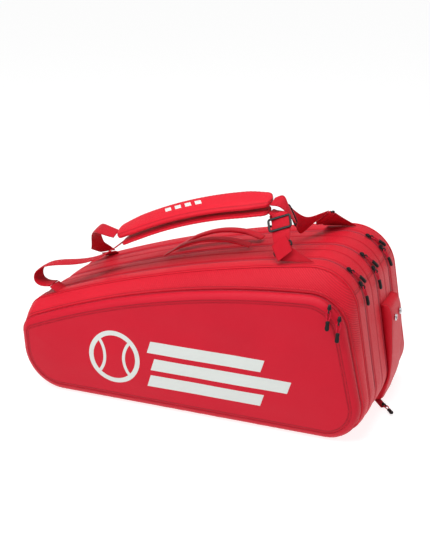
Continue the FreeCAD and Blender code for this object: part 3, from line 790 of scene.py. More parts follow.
def pipePart(outline, y, offset, radius, wave=0.0):
    # circle carried round an outline
    v = pipeValues
    stations, far = spread(outline, 0, 8, v["around"], True)
    x, z, nx, nz = outlineAt(outline, stations)
    angle = np.linspace(0, 2 * math.pi, v["section"], endpoint=False)[None, :]
    off = offset + radius * np.cos(angle) + wave * np.sin(far / 17)[:, None]
    side = y + radius * np.sin(angle) + 0 * off
    points = raised(x, z, nx, nz, off, side)
    points[..., 2] = np.maximum(points[..., 2], 0.02)
    return gridPart(points, True, True)


piece("frontSeamPiping", [pipePart("shell", -113.2, -0.9, 1.9)], "shell", "front_shell")
piece("backSeamPiping", [pipePart("shell", 166.2, -1.2, 1.9)], "shell", "rear_shell")


# ---- the sloping band in front, between the shell's seam and the pocket's zip
yokeValues = {
    "rearY": -112.3, "frontY": -147.4, "wall": 4.0, "fullness": 0.075, "guard": 7.0, "guardRise": 1.5, "ripple": 0.6,
}


def yokePart():
    # straight lines from the shell outline to the pocket outline, swollen along their own outward
    # direction, with a raised guard along the zip
    v = yokeValues
    stations, far = spread("shell", 0, 8, 760, True)
    x0, z0, nx, nz = outlineAt("shell", stations)
    x1, z1, _, _ = outlineAt("pocket", stations)
    rear = np.stack([x0, 0 * x0 + v["rearY"], z0], -1)
    ahead = np.stack([x1, 0 * x1 + v["frontY"], z1], -1)
    slope = ahead - rear
    width = np.linalg.norm(slope, axis=1)
    normal = np.stack([nx, 0 * nx, nz], -1)
    normal = unit(normal - slope * (np.sum(normal * slope, 1) / width ** 2)[:, None])
    share = (1 - np.cos(np.linspace(0, math.pi, 41))) / 2
    fromZip = (1 - share)[None, :] * width[:, None]
    fromSeam = share[None, :] * width[:, None]
    lifted = smooth(2, 40, z1)[:, None]
    swell = v["fullness"] * width[:, None] * np.sin(math.pi * share)[None, :] ** 0.8
    swell = swell + v["ripple"] * ripple(far[:, None], fromSeam, 3.4) * np.sin(math.pi * share)[None, :]
    guard = v["guardRise"] * (1 - smooth(v["guard"] - 0.8, v["guard"] + 0.8, fromZip)) * smooth(0, 1.6, fromZip)
    dip = 0.8 * np.exp(-((fromZip - v["guard"] - 1.4) / 1.0) ** 2) + 0.7 * np.exp(-((fromSeam - 3.2) / 1.1) ** 2)
    offset = (swell + guard - dip) * lifted - 0.8 * (1 - lifted)
    seam = np.minimum(np.abs(fromZip - v["guard"] + 2), np.abs(fromSeam - 3.2))
    outer = rear[:, None] + slope[:, None] * share[None, :, None] + normal[:, None] * offset[..., None]
    outer[..., 2] = np.maximum(outer[..., 2], 0.05)
    back = np.linspace(1, 0, 7)
    inner = rear[:, None] + slope[:, None] * back[None, :, None] - normal[:, None] * v["wall"]
    points = np.concatenate([outer, inner], 1)
    seam = np.concatenate([seam, np.full((len(stations), 7), 1000.0)], 1)
    return gridPart(points, True, True, seam=seam)


yoke = piece("frontYoke", [yokePart()], "ribbed", "front_shell", ["front_yoke"])


# ---- patches that fill an outline: four sides meet at the middles of the corner arcs
def patch(name, rows, cols, inset=0.0, crowd=0.0):
    # straight blends between opposite sides less the blend of the four corners; crowd draws lines to the rim
    def side(start, end, count):
        stations = spread(name, start, end, count)[0]
        x, z, nx, nz = outlineAt(name, stations)
        return np.stack([x - nx * inset, z - nz * inset], -1)

    bottom, top = side(7.5, 9.5, cols), side(3.5, 5.5, cols)[::-1]
    left, right = side(5.5, 7.5, rows)[::-1], side(1.5, 3.5, rows)

    def shareOf(count):
        t = np.linspace(0, 1, count)
        return t * (1 - crowd) + crowd * (1 - np.cos(math.pi * t)) / 2

    def along(points, share):
        t = np.linspace(0, 1, len(points))
        return np.stack([np.interp(share, t, points[:, i]) for i in range(2)], -1)

    u, w = shareOf(cols), shareOf(rows)
    bottom, top, left, right = along(bottom, u), along(top, u), along(left, w), along(right, w)
    a, b = u[None, :, None], w[:, None, None]
    ruled = (1 - b) * bottom[None] + b * top[None] + (1 - a) * left[:, None] + a * right[:, None]
    corners = ((1 - a) * (1 - b) * bottom[0] + a * (1 - b) * bottom[-1] + (1 - a) * b * top[0] + a * b * top[-1])
    return ruled - corners


def rimDistance(name, flat, inset=0.0):
    # distance from each point of a patch to its outline
    stations = spread(name, 0, 8, 900, True)[0]
    x, z, nx, nz = outlineAt(name, stations)
    x, z = x - nx * inset, z - nz * inset
    rows = [np.sqrt((line[:, 0, None] - x) ** 2 + (line[:, 1, None] - z) ** 2).min(1) for line in flat]
    return np.array(rows)


pocketValues = {
    "rimY": -152.9, "edge": 17.0, "edgeDepth": 15.2, "crown": 5.5, "crownReach": 55.0, "wall": 3.6,
    "seamAt": 16.0, "seamDip": 1.3, "ripple": 0.9, "sag": 2.0,
}


def pocketPart():
    # depth ahead of the rim: a rounded edge, then a slow crown, a sewn line where they meet, and
    # uneven fullness
    v = pocketValues
    flat = patch("pocket", 120, 250, 0.0, 0.85)
    rim = rimDistance("pocket", flat)
    rim[0], rim[-1], rim[:, 0], rim[:, -1] = 0, 0, 0, 0
    edge = (1 - (1 - np.clip(rim / v["edge"], 0, 1)) ** 2.3) ** (1 / 2.3)
    crown = v["crown"] * (1 - np.exp(-rim / v["crownReach"]))
    lowered = smooth(200, 40, flat[..., 1]) * v["sag"] * smooth(20, 80, rim)
    wave = v["ripple"] * ripple(flat[..., 0], flat[..., 1] * 1.4, 6.2) * smooth(10, 50, rim)
    groove = v["seamDip"] * np.exp(-((rim - v["seamAt"]) / 1.2) ** 2)
    depth = v["edgeDepth"] * edge + crown + lowered + wave - groove
    front = np.stack([flat[..., 0], v["rimY"] - depth, flat[..., 1]], -1)
    inset = patch("pocket", 120, 250, v["wall"], 0.85)
    back = np.stack([inset[..., 0], np.minimum(v["rimY"] - depth + v["wall"], v["rimY"]), inset[..., 1]], -1)
    return slabPart(front, back, seam=np.minimum(np.abs(rim - v["seamAt"] + 2.2), np.abs(rim - v["seamAt"] - 2.6)))


made = piece("pocketCover", [pocketPart()], "pocket", "pocket", ["pocket_cover"])
print("pocket made")

panelValues = {"inset": 4.3, "thick": 4.0, "quilt": 46.0, "quiltSink": 0.012}


def quiltPart(y, swellFront, swellBack, rows=70, cols=150):
    # flat padded sheet quilted in diamonds: thickness falls along two sets of slanting lines and at the rim
    v = panelValues
    flat = patch("shell", rows, cols, v["inset"], 0.4)
    rim = rimDistance("shell", flat, v["inset"])
    x, z, thick, quilt = flat[..., 0], flat[..., 1], v["thick"], v["quilt"]
    first, second = np.sin(math.pi * (x + z * 1.3) / quilt), np.sin(math.pi * (x - z * 1.3) / quilt)
    pads = 1 - np.exp(-np.minimum(first ** 2, second ** 2) / v["quiltSink"])
    fall = smooth(0, 12, rim)
    seam = np.minimum(np.abs(np.arcsin(first)), np.abs(np.arcsin(second))) * quilt / math.pi
    front = np.stack([x, y - (swellFront * pads - 0.5) * fall + 0.5 * (1 - fall), z], -1)
    back = np.stack([x, y + thick + (swellBack * pads - 0.5) * fall - 0.5 * (1 - fall), z], -1)
    return slabPart(front, back, seam=seam)


quiltedPanels = [
    ("frontDivider", -22, 0.5, "front_middle", "divider_lining", "front_divider"),
    ("rearDivider", 70, 0.5, "rear_middle", "divider_lining", "rear_divider"),
    ("pocketBackPanel", -112, 0.3, "front_shell", "shell_fabric", "front_panel"),
]
for name, y, swellFront, body, slotName, node in quiltedPanels:
    made = piece(name, [quiltPart(y, swellFront, 0.5)], "lining", body, [node])

backValues = {
    "y": 161.0, "thick": 4.0, "crown": 3.4, "channels": (-210, -70, 70, 210), "ripple": 0.7,
    "rimSeam": 28, "rimDip": 1.3,
}


def backPart():
    # flat inside, gently crowned outside, with upright sewn channels
    v = backValues
    flat = patch("shell", 90, 200, panelValues["inset"], 0.6)
    rim = rimDistance("shell", flat, panelValues["inset"])
    x, z = flat[..., 0], flat[..., 1]
    near = np.min([np.abs(x - at - (z - 140) * 0.12) for at in v["channels"]], 0)
    inside = smooth(26, 30, rim)
    swell = v["crown"] * (1 - np.exp(-rim / 18)) - 1.6 * np.exp(-(near / 3) ** 2) * inside
    swell = swell + v["ripple"] * ripple(x, z * 1.3, 8.8) * smooth(6, 30, rim)
    swell = swell - v["rimDip"] * np.exp(-((rim - v["rimSeam"]) / 2.2) ** 2)
    back = np.stack([x, v["y"] + v["thick"] - 0.4 + swell, z], -1)
    front = np.stack([x, 0 * x + v["y"] + 0.2, z], -1)
    seam = np.minimum(np.where(rim > v["rimSeam"], near, 1000), np.abs(np.abs(rim - v["rimSeam"]) - 0.2))
    return slabPart(back, front, seam=seam)


made = piece("backPanel", [backPart()], "shell", "rear_shell", ["back_panel"])
print("panels made")


# ---- zips: coil halves with their ridges, and the base cloth that joins the sections below the zips' ends
zipValues = {"half": 2.6, "depth": 2.2, "pitch": 2.2, "ridge": 0.42, "level": 74, "stepsPerTooth": 4}


def coilPart(outline, y, side):
    # low rounded strip along the outline; its outer face rises and falls once for each tooth
    v = zipValues
    start, end = above(outline, v["level"])
    length = spread(outline, start, end, 3)[1][-1]
    count = int(length / v["pitch"] * v["stepsPerTooth"])
    stations, far = spread(outline, start, end, count)
    x, z, nx, nz = outlineAt(outline, stations)
    a, b = superRound(10, v["half"], v["depth"], 3)
    tooth = v["ridge"] * np.cos(2 * math.pi * (far / v["pitch"] + (0.5 if side > 0 else 0)))
    offset = -v["depth"] / 2 + b[None, :] + (b > 0)[None, :] * (tooth - v["ridge"])[:, None]
    return gridPart(raised(x, z, nx, nz, offset, y + a[None, :]), wrapCols=True)


ahead, behind = -1.45, 1.45
zips = [
    ("frontZipHalves", [("shell", -66 + ahead, -1), ("pocket", -150 + behind, 1)], "front_shell", "front_zip_tapes"),
    ("frontDividerZipHalves", [("shell", -66 + behind, 1), ("shell", 26 + ahead, -1)],
     "front_middle", "front_divider_zip_tapes"),
    ("rearDividerZipHalves", [("shell", 26 + behind, 1), ("shell", 118 + ahead, -1)],
     "rear_middle", "rear_divider_zip_tapes"),
    ("rearZipHalf", [("shell", 118 + behind, 1)], "rear_shell", "rear_zip_tape"),
    ("pocketZipHalf", [("pocket", -150 + ahead, -1)], "pocket", "pocket_zip_tape"),
]
for name, halves, body, node in zips:
    piece(name, [coilPart(*half) for half in halves], "zip", body, [node])

foldValues = {"half": 2.7, "edge": 0.9, "valley": 2.6, "thick": 1.0, "around": 360}


def foldPart(outline, y):
    # shallow valley of cloth carried round the outline below the zips' ends
    v = foldValues
    start, end = above(outline, zipValues["level"])
    stations, far = spread(outline, end, start + 8, v["around"])
    x, z, nx, nz = outlineAt(outline, stations)
    share = np.linspace(-1, 1, 9)
    valley = -v["edge"] - (v["valley"] - v["edge"]) * (1 - share ** 2)
    across = np.concatenate([y + share * v["half"], y + share[::-1] * v["half"]])
    offset = np.concatenate([valley, valley[::-1] - v["thick"]])
    return gridPart(raised(x, z, nx, nz, offset, across[None, :]), wrapCols=True)


folds = [
    ("frontBaseFold", "shell", -66, ("front_middle", "front_shell")),
    ("middleBaseFold", "shell", 26, ("rear_middle", "front_middle")),
    ("rearBaseFold", "shell", 118, ("rear_shell", "rear_middle")),
    ("pocketBaseFold", "pocket", -150, ("front_shell", "pocket")),
]
for name, outline, y, pair in folds:
    ends = ((0, (y + 2.9) * 0.001, 0), (0, (y - 2.9) * 0.001, 0))
    piece(name, [foldPart(outline, y)], "shell", None, blendWith=(*pair, *ends))
print("zips and base folds made")


# ---- end pocket: a boxy pouch on the right end
endValues = {
    "front": 31.0, "rear": 112.0, "wall": 2.6, "power": 7.0, "stand": 0.7,
    "side": [(0, 211.4), (358, 211.4), (364, 206), (369.2, 188), (371.8, 150), (373.2, 106), (372.4, 76), (371, 56),
             (365.6, 34), (358, 6), (354, 3.6), (0, 3.6)],
    "ripple": 0.7,
}


def shellSide(level):
    # x of the shell's right side at a height, a little outside it
    dense = np.linspace(0.5, 4.2, 4000)
    x, z, nx, _ = outlineAt("shell", dense)
    order = np.argsort(z)
    return np.interp(level, z[order], x[order]) + endValues["stand"]


def endPocketPart():
    # side line from the shell over the top, down and back to the shell; across it the depth swells as a
    # power of a sine, so its cheeks are near flat with rounded edges
    v = endValues
    line = np.array(v["side"], float)
    line[0, 0], line[-1, 0] = shellSide(line[0, 1]), shellSide(line[-1, 1])
    far = reach(np.column_stack([line, 0 * line[:, 0]]))
    steps = np.linspace(0, far[-1], 110)
    out = np.stack([np.interp(steps, far, line[:, i]) for i in range(2)], -1)
    for _ in range(3):
        out[1:-1] = (out[:-2] + 2 * out[1:-1] + out[2:]) / 4
    base = np.stack([shellSide(out[:, 1]), out[:, 1]], -1)
    angle = np.linspace(0, math.pi, 61)
    c, s = np.cos(angle), np.clip(np.sin(angle), 0, 1)
    depth = s ** (2 / v["power"])
    depth[0], depth[-1] = 0, 0
    across = -np.sign(c) * np.abs(c) ** (2 / v["power"])
    middle, half = (v["front"] + v["rear"]) / 2, (v["rear"] - v["front"]) / 2
    swell = v["ripple"] * ripple(steps[:, None] * 1.5, across[None, :] * 60, 2.2) * smooth(0.5, 1, depth)[None, :] - 0.3
    piping = 0.9 * np.exp(-((np.abs(across) - 0.93) / 0.03) ** 2)[None, :]
    go = out - base
    length = np.linalg.norm(go, axis=1)
    fullness = smooth(2, 10, length)[:, None] * smooth(0.3, 0.9, depth)[None, :]
    grow = length[:, None] * depth[None, :] + (swell + piping) * fullness
    way = go / np.maximum(length, 1e-6)[:, None]

    def skin(reachOut, inset):
        x = base[:, 0][:, None] + way[:, 0][:, None] * reachOut
        z = base[:, 1][:, None] + way[:, 1][:, None] * reachOut
        y = middle + across[None, :] * (half - inset) + 0 * x
        return np.stack([x, y, z], -1)

    outer = skin(grow, 0)
    inner = skin(np.maximum(grow - v["wall"], 0.02), v["wall"])
    low, high = endValues["side"][-1][1] + v["wall"], endValues["side"][0][1] - v["wall"]
    inner[..., 2] = np.clip(inner[..., 2], low, high)
    seam = np.abs(np.abs(across) - 0.86)[None, :] * half + 0 * grow
    uv = np.stack(np.broadcast_arrays(steps[:, None], across[None, :] * half), -1)
    return slabPart(outer, inner, seam=seam, uv=uv)


made = piece("endPocket", [endPocketPart()], "shell", "shoe_pocket_door", ["shoe_pocket"])

eyeletValues = {"x": 371.5, "z": 181.0, "lean": 3, "ys": (53.0, 90.0), "radius": 5.5, "tube": 1.6}


def eyeletParts(radius, tube, flat):
    v = eyeletValues
    normal = (math.cos(math.radians(v["lean"])), 0, math.sin(math.radians(v["lean"])))
    return [torusPart((v["x"], y, v["z"]), normal, (0, 1, 0), radius, tube, 48, 16, flat) for y in v["ys"]]


piece("endPocketEyelets", eyeletParts(eyeletValues["radius"], eyeletValues["tube"], 0.9), "metal", "shoe_pocket_door",
      ["shoe_pocket_eyelets"])
# painted shade: flat dark discs fill the eyelet holes, standing for the shaded inside of the end pocket
piece("endPocketEyeletHoleShade", eyeletParts(2.15, 2.14, 0.25), "mesh", "shoe_pocket_door")

tapeValues = {"start": -34.0, "end": 4.0, "level": 1.2, "width": 14.0, "thick": 1.5}


def tapePart():
    # flat zip tape that carries the end pocket's slider out from under the bag
    v = tapeValues
    pull = pulls["shoe_zip"]
    steps = np.linspace(v["start"], v["end"], 40)
    line = pull["place"] + pull["along"] * steps[:, None]
    line[:, 2] = v["level"]
    return tubePart(line, np.ones(len(steps)), pull["side"], v["width"], v["thick"], 6.0, 24)


piece("endPocketZipTape", [tapePart()], "zip", "rear_middle")
print("end pocket made")


# ---- webbing: flat bands through cross-lines, each a middle point and a half-width direction
ringTilt, bagTop, acrossBag = (0.73, 0, 0.68), (0.97, 0, 0.25), (0, 1, 0)
webValues = {"width": 38.0, "thick": 2.0, "perSpan": 14, "curl": 0.9, "passes": 24}
buckles = {
    "front": ((163, -60, 385), (0.9, 0.1, 0.35), (0.345, -0.6, -0.722)),
    "rear": ((168, -3, 388), (-0.45, 0.05, 0.89), (-0.302, 0.93, -0.205)),
}
rings = {"front": ((181, -94, 348), (-0.555, 0.576, 0.596)), "rear": ((207, 93, 357), (-0.25, -0.93, 0.27))}


def along(place, run, far):
    return tuple(np.array(place) + np.array(run) * far)


def splineThrough(values, knots, dense):
    # cubic through all values whose slopes are those of the parabola through three neighbours
    slopes = np.gradient(values, knots, axis=0)
    index = np.clip(np.searchsorted(knots, dense, side="right") - 1, 0, len(knots) - 2)
    width = (knots[index + 1] - knots[index])[:, None]
    t = ((dense - knots[index]) / width[:, 0])[:, None]
    a, b = values[index], values[index + 1]
    return ((2 * t ** 3 - 3 * t ** 2 + 1) * a + (t ** 3 - 2 * t ** 2 + t) * width * slopes[index]
            + (3 * t ** 2 - 2 * t ** 3) * b + (t ** 3 - t ** 2) * width * slopes[index + 1])


def bandPart(stations, thick=None, count=24, power=7.0, curl=None):
    # rounded flat section whose middle and half-width follow one cubic each; its middle curls up a little
    v = webValues
    thick = thick or v["thick"]
    middles = np.array([s[0] for s in stations], float)
    halves = np.array([unit(s[1]) * (s[2] if len(s) > 2 else v["width"]) / 2 for s in stations])
    knots = reach(middles)
    dense = np.unique(np.concatenate([np.linspace(a, b, v["perSpan"]) for a, b in zip(knots, knots[1:])]))
    middle, half = splineThrough(middles, knots, dense), splineThrough(halves, knots, dense)
    wide = np.linalg.norm(splineThrough(np.linalg.norm(halves, axis=1)[:, None], knots, dense), axis=1)
    half = unit(half) * wide[:, None]
    for _ in range(v["passes"]):
        middle[1:-1] = (middle[:-2] + 2 * middle[1:-1] + middle[2:]) / 4
        half[1:-1] = (half[:-2] + 2 * half[1:-1] + half[2:]) / 4
    tangent = unit(np.gradient(middle, axis=0))
    up = unit(np.cross(half, tangent))
    a, b = superRound(count, 2, thick, power)
    bow = (v["curl"] if curl is None else curl) * (a ** 2 - 0.4)
    points = (middle[:, None] + half[:, None] * a[None, :, None] + up[:, None] * (b + bow)[None, :, None])
    edge = np.broadcast_to(np.abs(a)[None, :], points.shape[:2])
    seam = (1 - np.abs(a))[None, :] * wide[:, None] - 2.6
    uv = np.stack(np.broadcast_arrays(dense[:, None], a[None, :] * 19), -1)
    return gridPart(points, wrapCols=True, edge=edge, seam=seam, uv=uv)


place, across, run = buckles["front"]
frontRight = [((136.5, -36, 400), acrossBag, 30), ((146, -43, 399), (0.3, 0.95, 0.1), 30),
              (along(place, run, -18), across), (along(place, run, 18), across), ((177.5, -89, 353), ringTilt)]
frontLeft = [((-320.5, -92, 205), acrossBag), ((-342, -92, 203.5), acrossBag), ((-355, -91, 211), acrossBag),
             ((-357, -88, 226), acrossBag), ((-345, -83, 239), acrossBag), ((-318, -76, 247), acrossBag),
             ((-282, -67, 250), acrossBag), ((-246, -56, 257), acrossBag), ((-215, -46, 272), acrossBag, 34),
             ((-184, -36, 297), acrossBag, 30)]
place, across, run = buckles["rear"]
rearRight = [((138.5, -34, 419), (0, 1, 0.25), 30), ((154, -26, 420), (-0.15, 0.85, 0.5), 32),
             (along(place, run, -18), across), (along(place, run, 18), across), ((164, 30, 368), (-0.2, 0, 0.98)),
             ((176, 45, 350), (0.3, 0, 0.95)), ((194, 64, 358), (0.6, 0, 0.8)), ((202.5, 84, 362), ringTilt)]
rearLeft = [((-304, 125, 209), bagTop), ((-312, 104, 224), (0.8, 0.5, 0.2)), ((-302, 76, 238), (0.4, 0.9, 0.1)),
            ((-289, 46, 262), (0.15, 1, 0)), ((-276, 18, 292), (0, 1, 0.15)), ((-254, -8, 310), (0, 1, 0.2)),
            ((-224, -26, 312), (0, 1, 0.25), 34), ((-200, -34, 311), (0, 1, 0.25), 30)]
frontAnchors = [
    [((213, -103, 329), (0.99, 0, 0.1), 66), ((196, -101, 337), (0.9, 0, 0.42), 46),
     (along(*rings["front"], -10.5), ringTilt)],
    [((-299, -92, 193), acrossBag), ((-318.8, -92, 204.4), acrossBag)],
]
rearAnchors = [
    [((228, 141, 329), (0.99, 0, 0.1), 62), ((216, 122, 341), (0.9, 0, 0.42), 46),
     (along(*rings["rear"], -10.5), ringTilt)],
    [((-300, 140, 196), bagTop), ((-303, 128, 205), bagTop)],
]
bands = [
    ("frontWebbingRight", [frontRight], "front_strap", "front_webbing_right"),
    ("frontWebbingLeft", [frontLeft], "front_strap", "front_webbing_left"),
    ("rearWebbingRight", [rearRight], "rear_strap", "rear_webbing_right"),
    ("rearWebbingLeft", [rearLeft], "rear_strap", "rear_webbing_left"),
    ("frontStrapAnchors", frontAnchors, "front_shell", "front_strap_anchors"),
    ("rearStrapAnchors", rearAnchors, "rear_shell", "rear_strap_anchors"),
]

sleeveValues = {
    "length": 38.0, "high": 9.2, "thick": 7.2, "hole": 3.6, "far": 4.9, "flap": (17, -1, -19), "flapLift": 3.6,
}


def sleevePart(key, side):
    # folded end of the webbing round one long bar of a ring: an oval tube with a square hole for the bar
    v = sleeveValues
    place, run = rings[key]
    centre, tilt, run = np.array(along(place, run, side * v["far"])), unit(ringTilt), unit(run)
    normal = np.cross(tilt, run)
    far = np.linspace(-v["length"] / 2, v["length"] / 2, 20)
    rows = []
    for steps, wide, thick, power in ((far, v["high"], v["thick"], 2.6), (far[::-1], v["hole"], v["hole"], 4.0)):
        a, b = superRound(28, wide, thick, power)
        rows.append(centre + steps[:, None, None] * tilt + a[None, :, None] * run + b[None, :, None] * normal)
    return gridPart(np.concatenate(rows), True, True)


def flapPart():
    # square end of the strap lying over the front ring
    place, run = rings["front"]
    lift = unit(np.cross(ringTilt, run)) * sleeveValues["flapLift"]
    return bandPart([(np.array(along(place, run, far)) + lift, ringTilt) for far in sleeveValues["flap"]], curl=0.3)


extras = {
    "frontWebbingRight": [sleevePart("front", 1), flapPart()], "rearWebbingRight": [sleevePart("rear", 1)],
    "frontStrapAnchors": [sleevePart("front", -1)], "rearStrapAnchors": [sleevePart("rear", -1)],
}
for name, runs, body, node in bands:
    curl = 0.0 if "Anchors" in name else None
    parts = [bandPart(stations, curl=curl) for stations in runs] + extras.get(name, [])
    piece(name, parts, "web", body, [node])
print("webbing made")


# ---- shoulder pads
padValues = {
    "arc": 780.0, "slope": -18.0, "binding": 1.3, "pucker": 0.35, "puckerPitch": 9.0, "ripple": 0.4, "stitchDip": 0.7,
    "upper": {"place": (-38, -38, 391.5), "tilt": 19, "length": 356, "width": 61, "thick": 16, "marked": 1.0},
    "lower": {"place": (-31, -38, 369.5), "tilt": 9, "length": 338, "width": 57, "thick": 9.4, "marked": 0.0},
}


def turned(points, slope, tilt, place):
    # tipped about X first, then about Y, then moved
    a, b = math.radians(tilt), math.radians(slope)
    x, y, z = points[..., 0], points[..., 1], points[..., 2]
    y, z = y * math.cos(a) - z * math.sin(a), y * math.sin(a) + z * math.cos(a)
    x, z = x * math.cos(b) + z * math.sin(b), z * math.cos(b) - x * math.sin(b)
    return np.stack([x, y, z], -1) + np.array(place, float)


def padPart(spec, seed):
    # crowned section carried along an arc: thick in the middle, thin at a bound and stitched edge,
    # round at both ends, with small puckers along the binding
    v = padValues
    ends = (1 - np.cos(np.linspace(0, math.pi, 150))) / 2
    far = ends * spec["length"]
    fromEnd = np.minimum(far, spec["length"] - far)
    close = np.sqrt(np.clip(1 - (1 - np.clip(fromEnd / 15, 0, 1)) ** 2.6, 0, 1))
    narrow = 0.74 + 0.26 * smooth(0, 60, fromEnd)
    angle = np.linspace(0, 2 * math.pi, 72, endpoint=False)
    c, s = np.cos(angle), np.sin(angle)
    wide = np.sign(c) * np.abs(c) ** 0.7
    rise = np.sign(s) * np.abs(s) ** 0.62
    fall = 1 - np.abs(wide) ** 5
    bindingHere = np.exp(-((1 - np.abs(wide)) / 0.06) ** 2)
    stitchDip = np.exp(-((np.abs(wide) - 0.83) / 0.025) ** 2)
    half = spec["width"] / 2 * narrow[:, None] * close[:, None]
    pucker = v["pucker"] * np.sin(far / v["puckerPitch"] * 2 * math.pi + seed)[:, None]
    pucker = pucker * smooth(0.45, 0.85, np.abs(wide))[None, :]
    lift = spec["thick"] / 2 * (rise * (0.6 + 0.4 * fall))[None, :] * (0.35 + 0.65 * close[:, None])
    bound = v["binding"] * 0.5 * bindingHere - v["stitchDip"] * stitchDip
    lift = lift + np.sign(rise)[None, :] * bound[None, :] * close[:, None]
    lift = lift + pucker * np.sign(rise)[None, :] * 0.5
    lift = lift + v["ripple"] * ripple(far[:, None], wide[None, :] * 30, seed) * fall[None, :] * close[:, None]
    lift = lift * np.where(close[:, None] > 0.02, 1, 0.2)
    swing = (far / spec["length"] - 0.5) * spec["length"] / v["arc"]
    radius = v["arc"] - spec["thick"] / 2 + lift
    x = np.sin(swing)[:, None] * radius
    z = np.cos(swing)[:, None] * radius - v["arc"]
    y = half * wide[None, :]
    points = turned(np.stack([x, y, z], -1), v["slope"], spec["tilt"], spec["place"])
    seam = (0.83 - np.abs(wide))[None, :] * half + 0 * x
    uv = np.stack(np.broadcast_arrays(far[:, None], wide[None, :] * spec["width"] / 2), -1)
    return gridPart(points, wrapCols=True, seam=seam, uv=uv, edge=(s > 0) * spec["marked"])


for name, key, body, node in (("upperPad", "upper", "rear_strap", "upper_pad"),
                              ("lowerPad", "lower", "front_strap", "lower_pad")):
    made = piece(name, [padPart(padValues[key], len(key) * 1.7)], "pad", body, [node])
print("pads made")


# ---- grab handles
handleValues = {
    "width": 22.0, "thick": 6.0,
    "front": {"y": 2.0, "lean": -0.35, "ends": ((-104, 264), (80, 307))},
    "rear": {"y": 50.0, "lean": 0.25, "ends": ((-98, 266), (90, 309))},
}


def handlePart(spec):
    # the band rises as a sine over its length; it is a rolled grip in the middle and flat, sewn ends
    v = handleValues
    share = np.linspace(0, 1, 120)
    rise = 20 * np.sin(math.pi * share) + 4 * np.sin(math.pi * np.minimum(1, 4 * np.minimum(share, 1 - share)) / 2)
    (x0, z0), (x1, z1) = spec["ends"]
    middle = np.stack([x0 + (x1 - x0) * share, spec["y"] + spec["lean"] * rise,
                       z0 + (z1 - z0) * share + rise + v["thick"] / 2 + 1], -1)
    tangent = unit(np.gradient(middle, axis=0))
    side = unit(np.array([0, 1, 0.1]) - tangent * (tangent @ np.array([0, 1, 0.1]))[:, None])
    up = np.cross(tangent, side)
    grip = smooth(0.1, 0.2, share) * (1 - smooth(0.8, 0.9, share))
    width = v["width"] / 2 * (1 - 0.12 * grip)
    thick = v["thick"] / 2 * (0.55 + 0.45 * grip)
    a, b = superRound(36, 2, 2, 3.4)
    bead = 0.6 * np.exp(-((1 - np.abs(a)) / 0.1) ** 2)
    points = (middle[:, None] + side[:, None] * (width[:, None] * a)[..., None]
              + up[:, None] * (thick[:, None] * b + np.sign(b) * bead * 0.4)[..., None])
    seam = (0.8 - np.abs(a))[None, :] * width[:, None]
    edge = np.broadcast_to(np.abs(a)[None, :], points.shape[:2])
    uv = np.stack(np.broadcast_arrays((share * 190)[:, None], a[None, :] * 11), -1)
    return gridPart(points, wrapCols=True, seam=seam, edge=edge, uv=uv)


for name, key, body, node in (("frontGrabHandle", "front", "front_grab", "front_grab_handle"),
                              ("rearGrabHandle", "rear", "rear_grab", "rear_grab_handle")):
    piece(name, [handlePart(handleValues[key])], "shell", body, [node])
print("handles made")


# ---- buckles and rings
frameValues = {
    "buckle": {"length": 49.0, "height": 29.0, "bar": 4.5, "thick": 3.0, "round": 4.0},
    "ring": {"length": 47.0, "height": 13.0, "bar": 3.2, "thick": 3.2, "round": 3.0},
}


def roundedPath(length, height, radius, count=160):
    # closed rectangle with round corners, evenly spaced
    corners = []
    for sx, sy, start in ((1, 1, 0), (-1, 1, 90), (-1, -1, 180), (1, -1, 270)):
        angle = np.radians(start + np.linspace(0, 90, 12))
        corners.append(np.stack([sx * (length / 2 - radius) + radius * np.cos(angle),
                                 sy * (height / 2 - radius) + radius * np.sin(angle)], -1))
    path = np.vstack(corners + [corners[0][:1]])
    far = reach(np.column_stack([path, 0 * path[:, 0]]))
    steps = np.linspace(0, far[-1], count, endpoint=False)
    return np.stack([np.interp(steps, far, path[:, i]) for i in range(2)], -1)


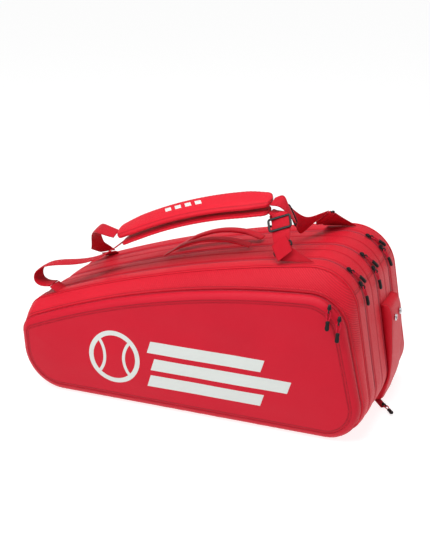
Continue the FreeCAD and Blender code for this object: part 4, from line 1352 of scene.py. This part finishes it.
def frameParts(spec, place, across, run, middleBar, face=1):
    # rounded bar carried round the frame; a buckle's middle bar bows down behind the webbing
    xAxis = unit(across)
    zAxis = unit(np.cross(xAxis, np.asarray(run, float))) * face
    yAxis = np.cross(zAxis, xAxis)
    lift = 1.4 + spec["thick"] / 2 if middleBar else 0.0
    centre = np.array(place, float) + zAxis * lift
    path = roundedPath(spec["length"] - spec["bar"], spec["height"] - spec["bar"], spec["round"])
    forward = unit(np.roll(path, -1, 0) - np.roll(path, 1, 0))
    outwardWay = np.stack([forward[:, 1], -forward[:, 0]], -1)
    a, b = superRound(18, spec["bar"], spec["thick"], 3.0)
    flat = path[:, None] + outwardWay[:, None] * a[None, :, None]
    points = centre + flat[..., :1] * xAxis + flat[..., 1:] * yAxis + b[None, :, None] * zAxis
    parts = [gridPart(points, True, True)]
    if middleBar:
        drop = 2.8 + spec["thick"]
        reachOut = (spec["length"] - spec["bar"]) / 2
        t = np.linspace(-1, 1, 60)
        down = -drop * (1 - np.abs(t) ** 8)
        bar = centre + (t * reachOut)[:, None] * xAxis + down[:, None] * zAxis
        parts.append(tubePart(bar, np.ones(60), yAxis, spec["bar"], spec["thick"] * 0.9))
    return parts


for key, face in (("front", -1), ("rear", 1)):
    place, across, run = buckles[key]
    piece(key + "Buckle", frameParts(frameValues["buckle"], place, across, run, True, face), "hardware",
          key + "_slide_buckle", [key + "_buckle"])
    place, run = rings[key]
    piece(key + "Ring", frameParts(frameValues["ring"], place, ringTilt, run, False), "hardware",
          key + "_strap", [key + "_ring"])
print("hardware made")


# ---- floor and light
def floorMaterial():
    # plain paper that gives off most of its own white, so that the ground stays even
    finish = Finish("floorPaper", {
        "Roughness": 0.9, "Specular IOR Level": 0.1, "Emission Color": (1, 1, 1, 1), "Emission Strength": 0.83,
    })
    finish.colour(finish.blend(finish.noise(0.7, 2) * 0.04, (0.36, 0.36, 0.36, 1), (0.33, 0.33, 0.33, 1)))
    return finish.material


floorMesh = bpy.data.meshes.new("floor")
floorMesh.from_pydata([(-60, -60, 0), (60, -60, 0), (60, 60, 0), (-60, 60, 0)], [], [(0, 1, 2, 3)])
floorMesh.materials.append(floorMaterial())
floor = bpy.data.objects.new("floor", floorMesh)
scene.collection.objects.link(floor)

world = bpy.data.worlds.new("studio")
scene.world = world
world.use_nodes = True
world.node_tree.nodes["Background"].inputs[0].default_value = (1, 1, 1, 1)
world.node_tree.nodes["Background"].inputs[1].default_value = 0.36

lights = {
    "overhead": {"at": (0.1, -0.3, 2.2), "aim": (0, 0, 0.1), "size": 1.2, "power": 30},
    "frontLeft": {"at": (-1.0, -1.8, 2.2), "aim": (-0.1, 0, 0.15), "size": 1.0, "power": 34},
    "rightEnd": {"at": (2.2, 0.5, 1.3), "aim": (0.3, 0, 0.15), "size": 1.2, "power": 4},
}
for name, values in lights.items():
    light = bpy.data.lights.new(name, "AREA")
    light.size = values["size"]
    light.energy = values["power"]
    lamp = bpy.data.objects.new(name, light)
    scene.collection.objects.link(lamp)
    lamp.location = values["at"]
    lamp.rotation_euler = (Vector(values["aim"]) - Vector(values["at"])).to_track_quat("-Z", "Y").to_euler()
print("floor and light made")
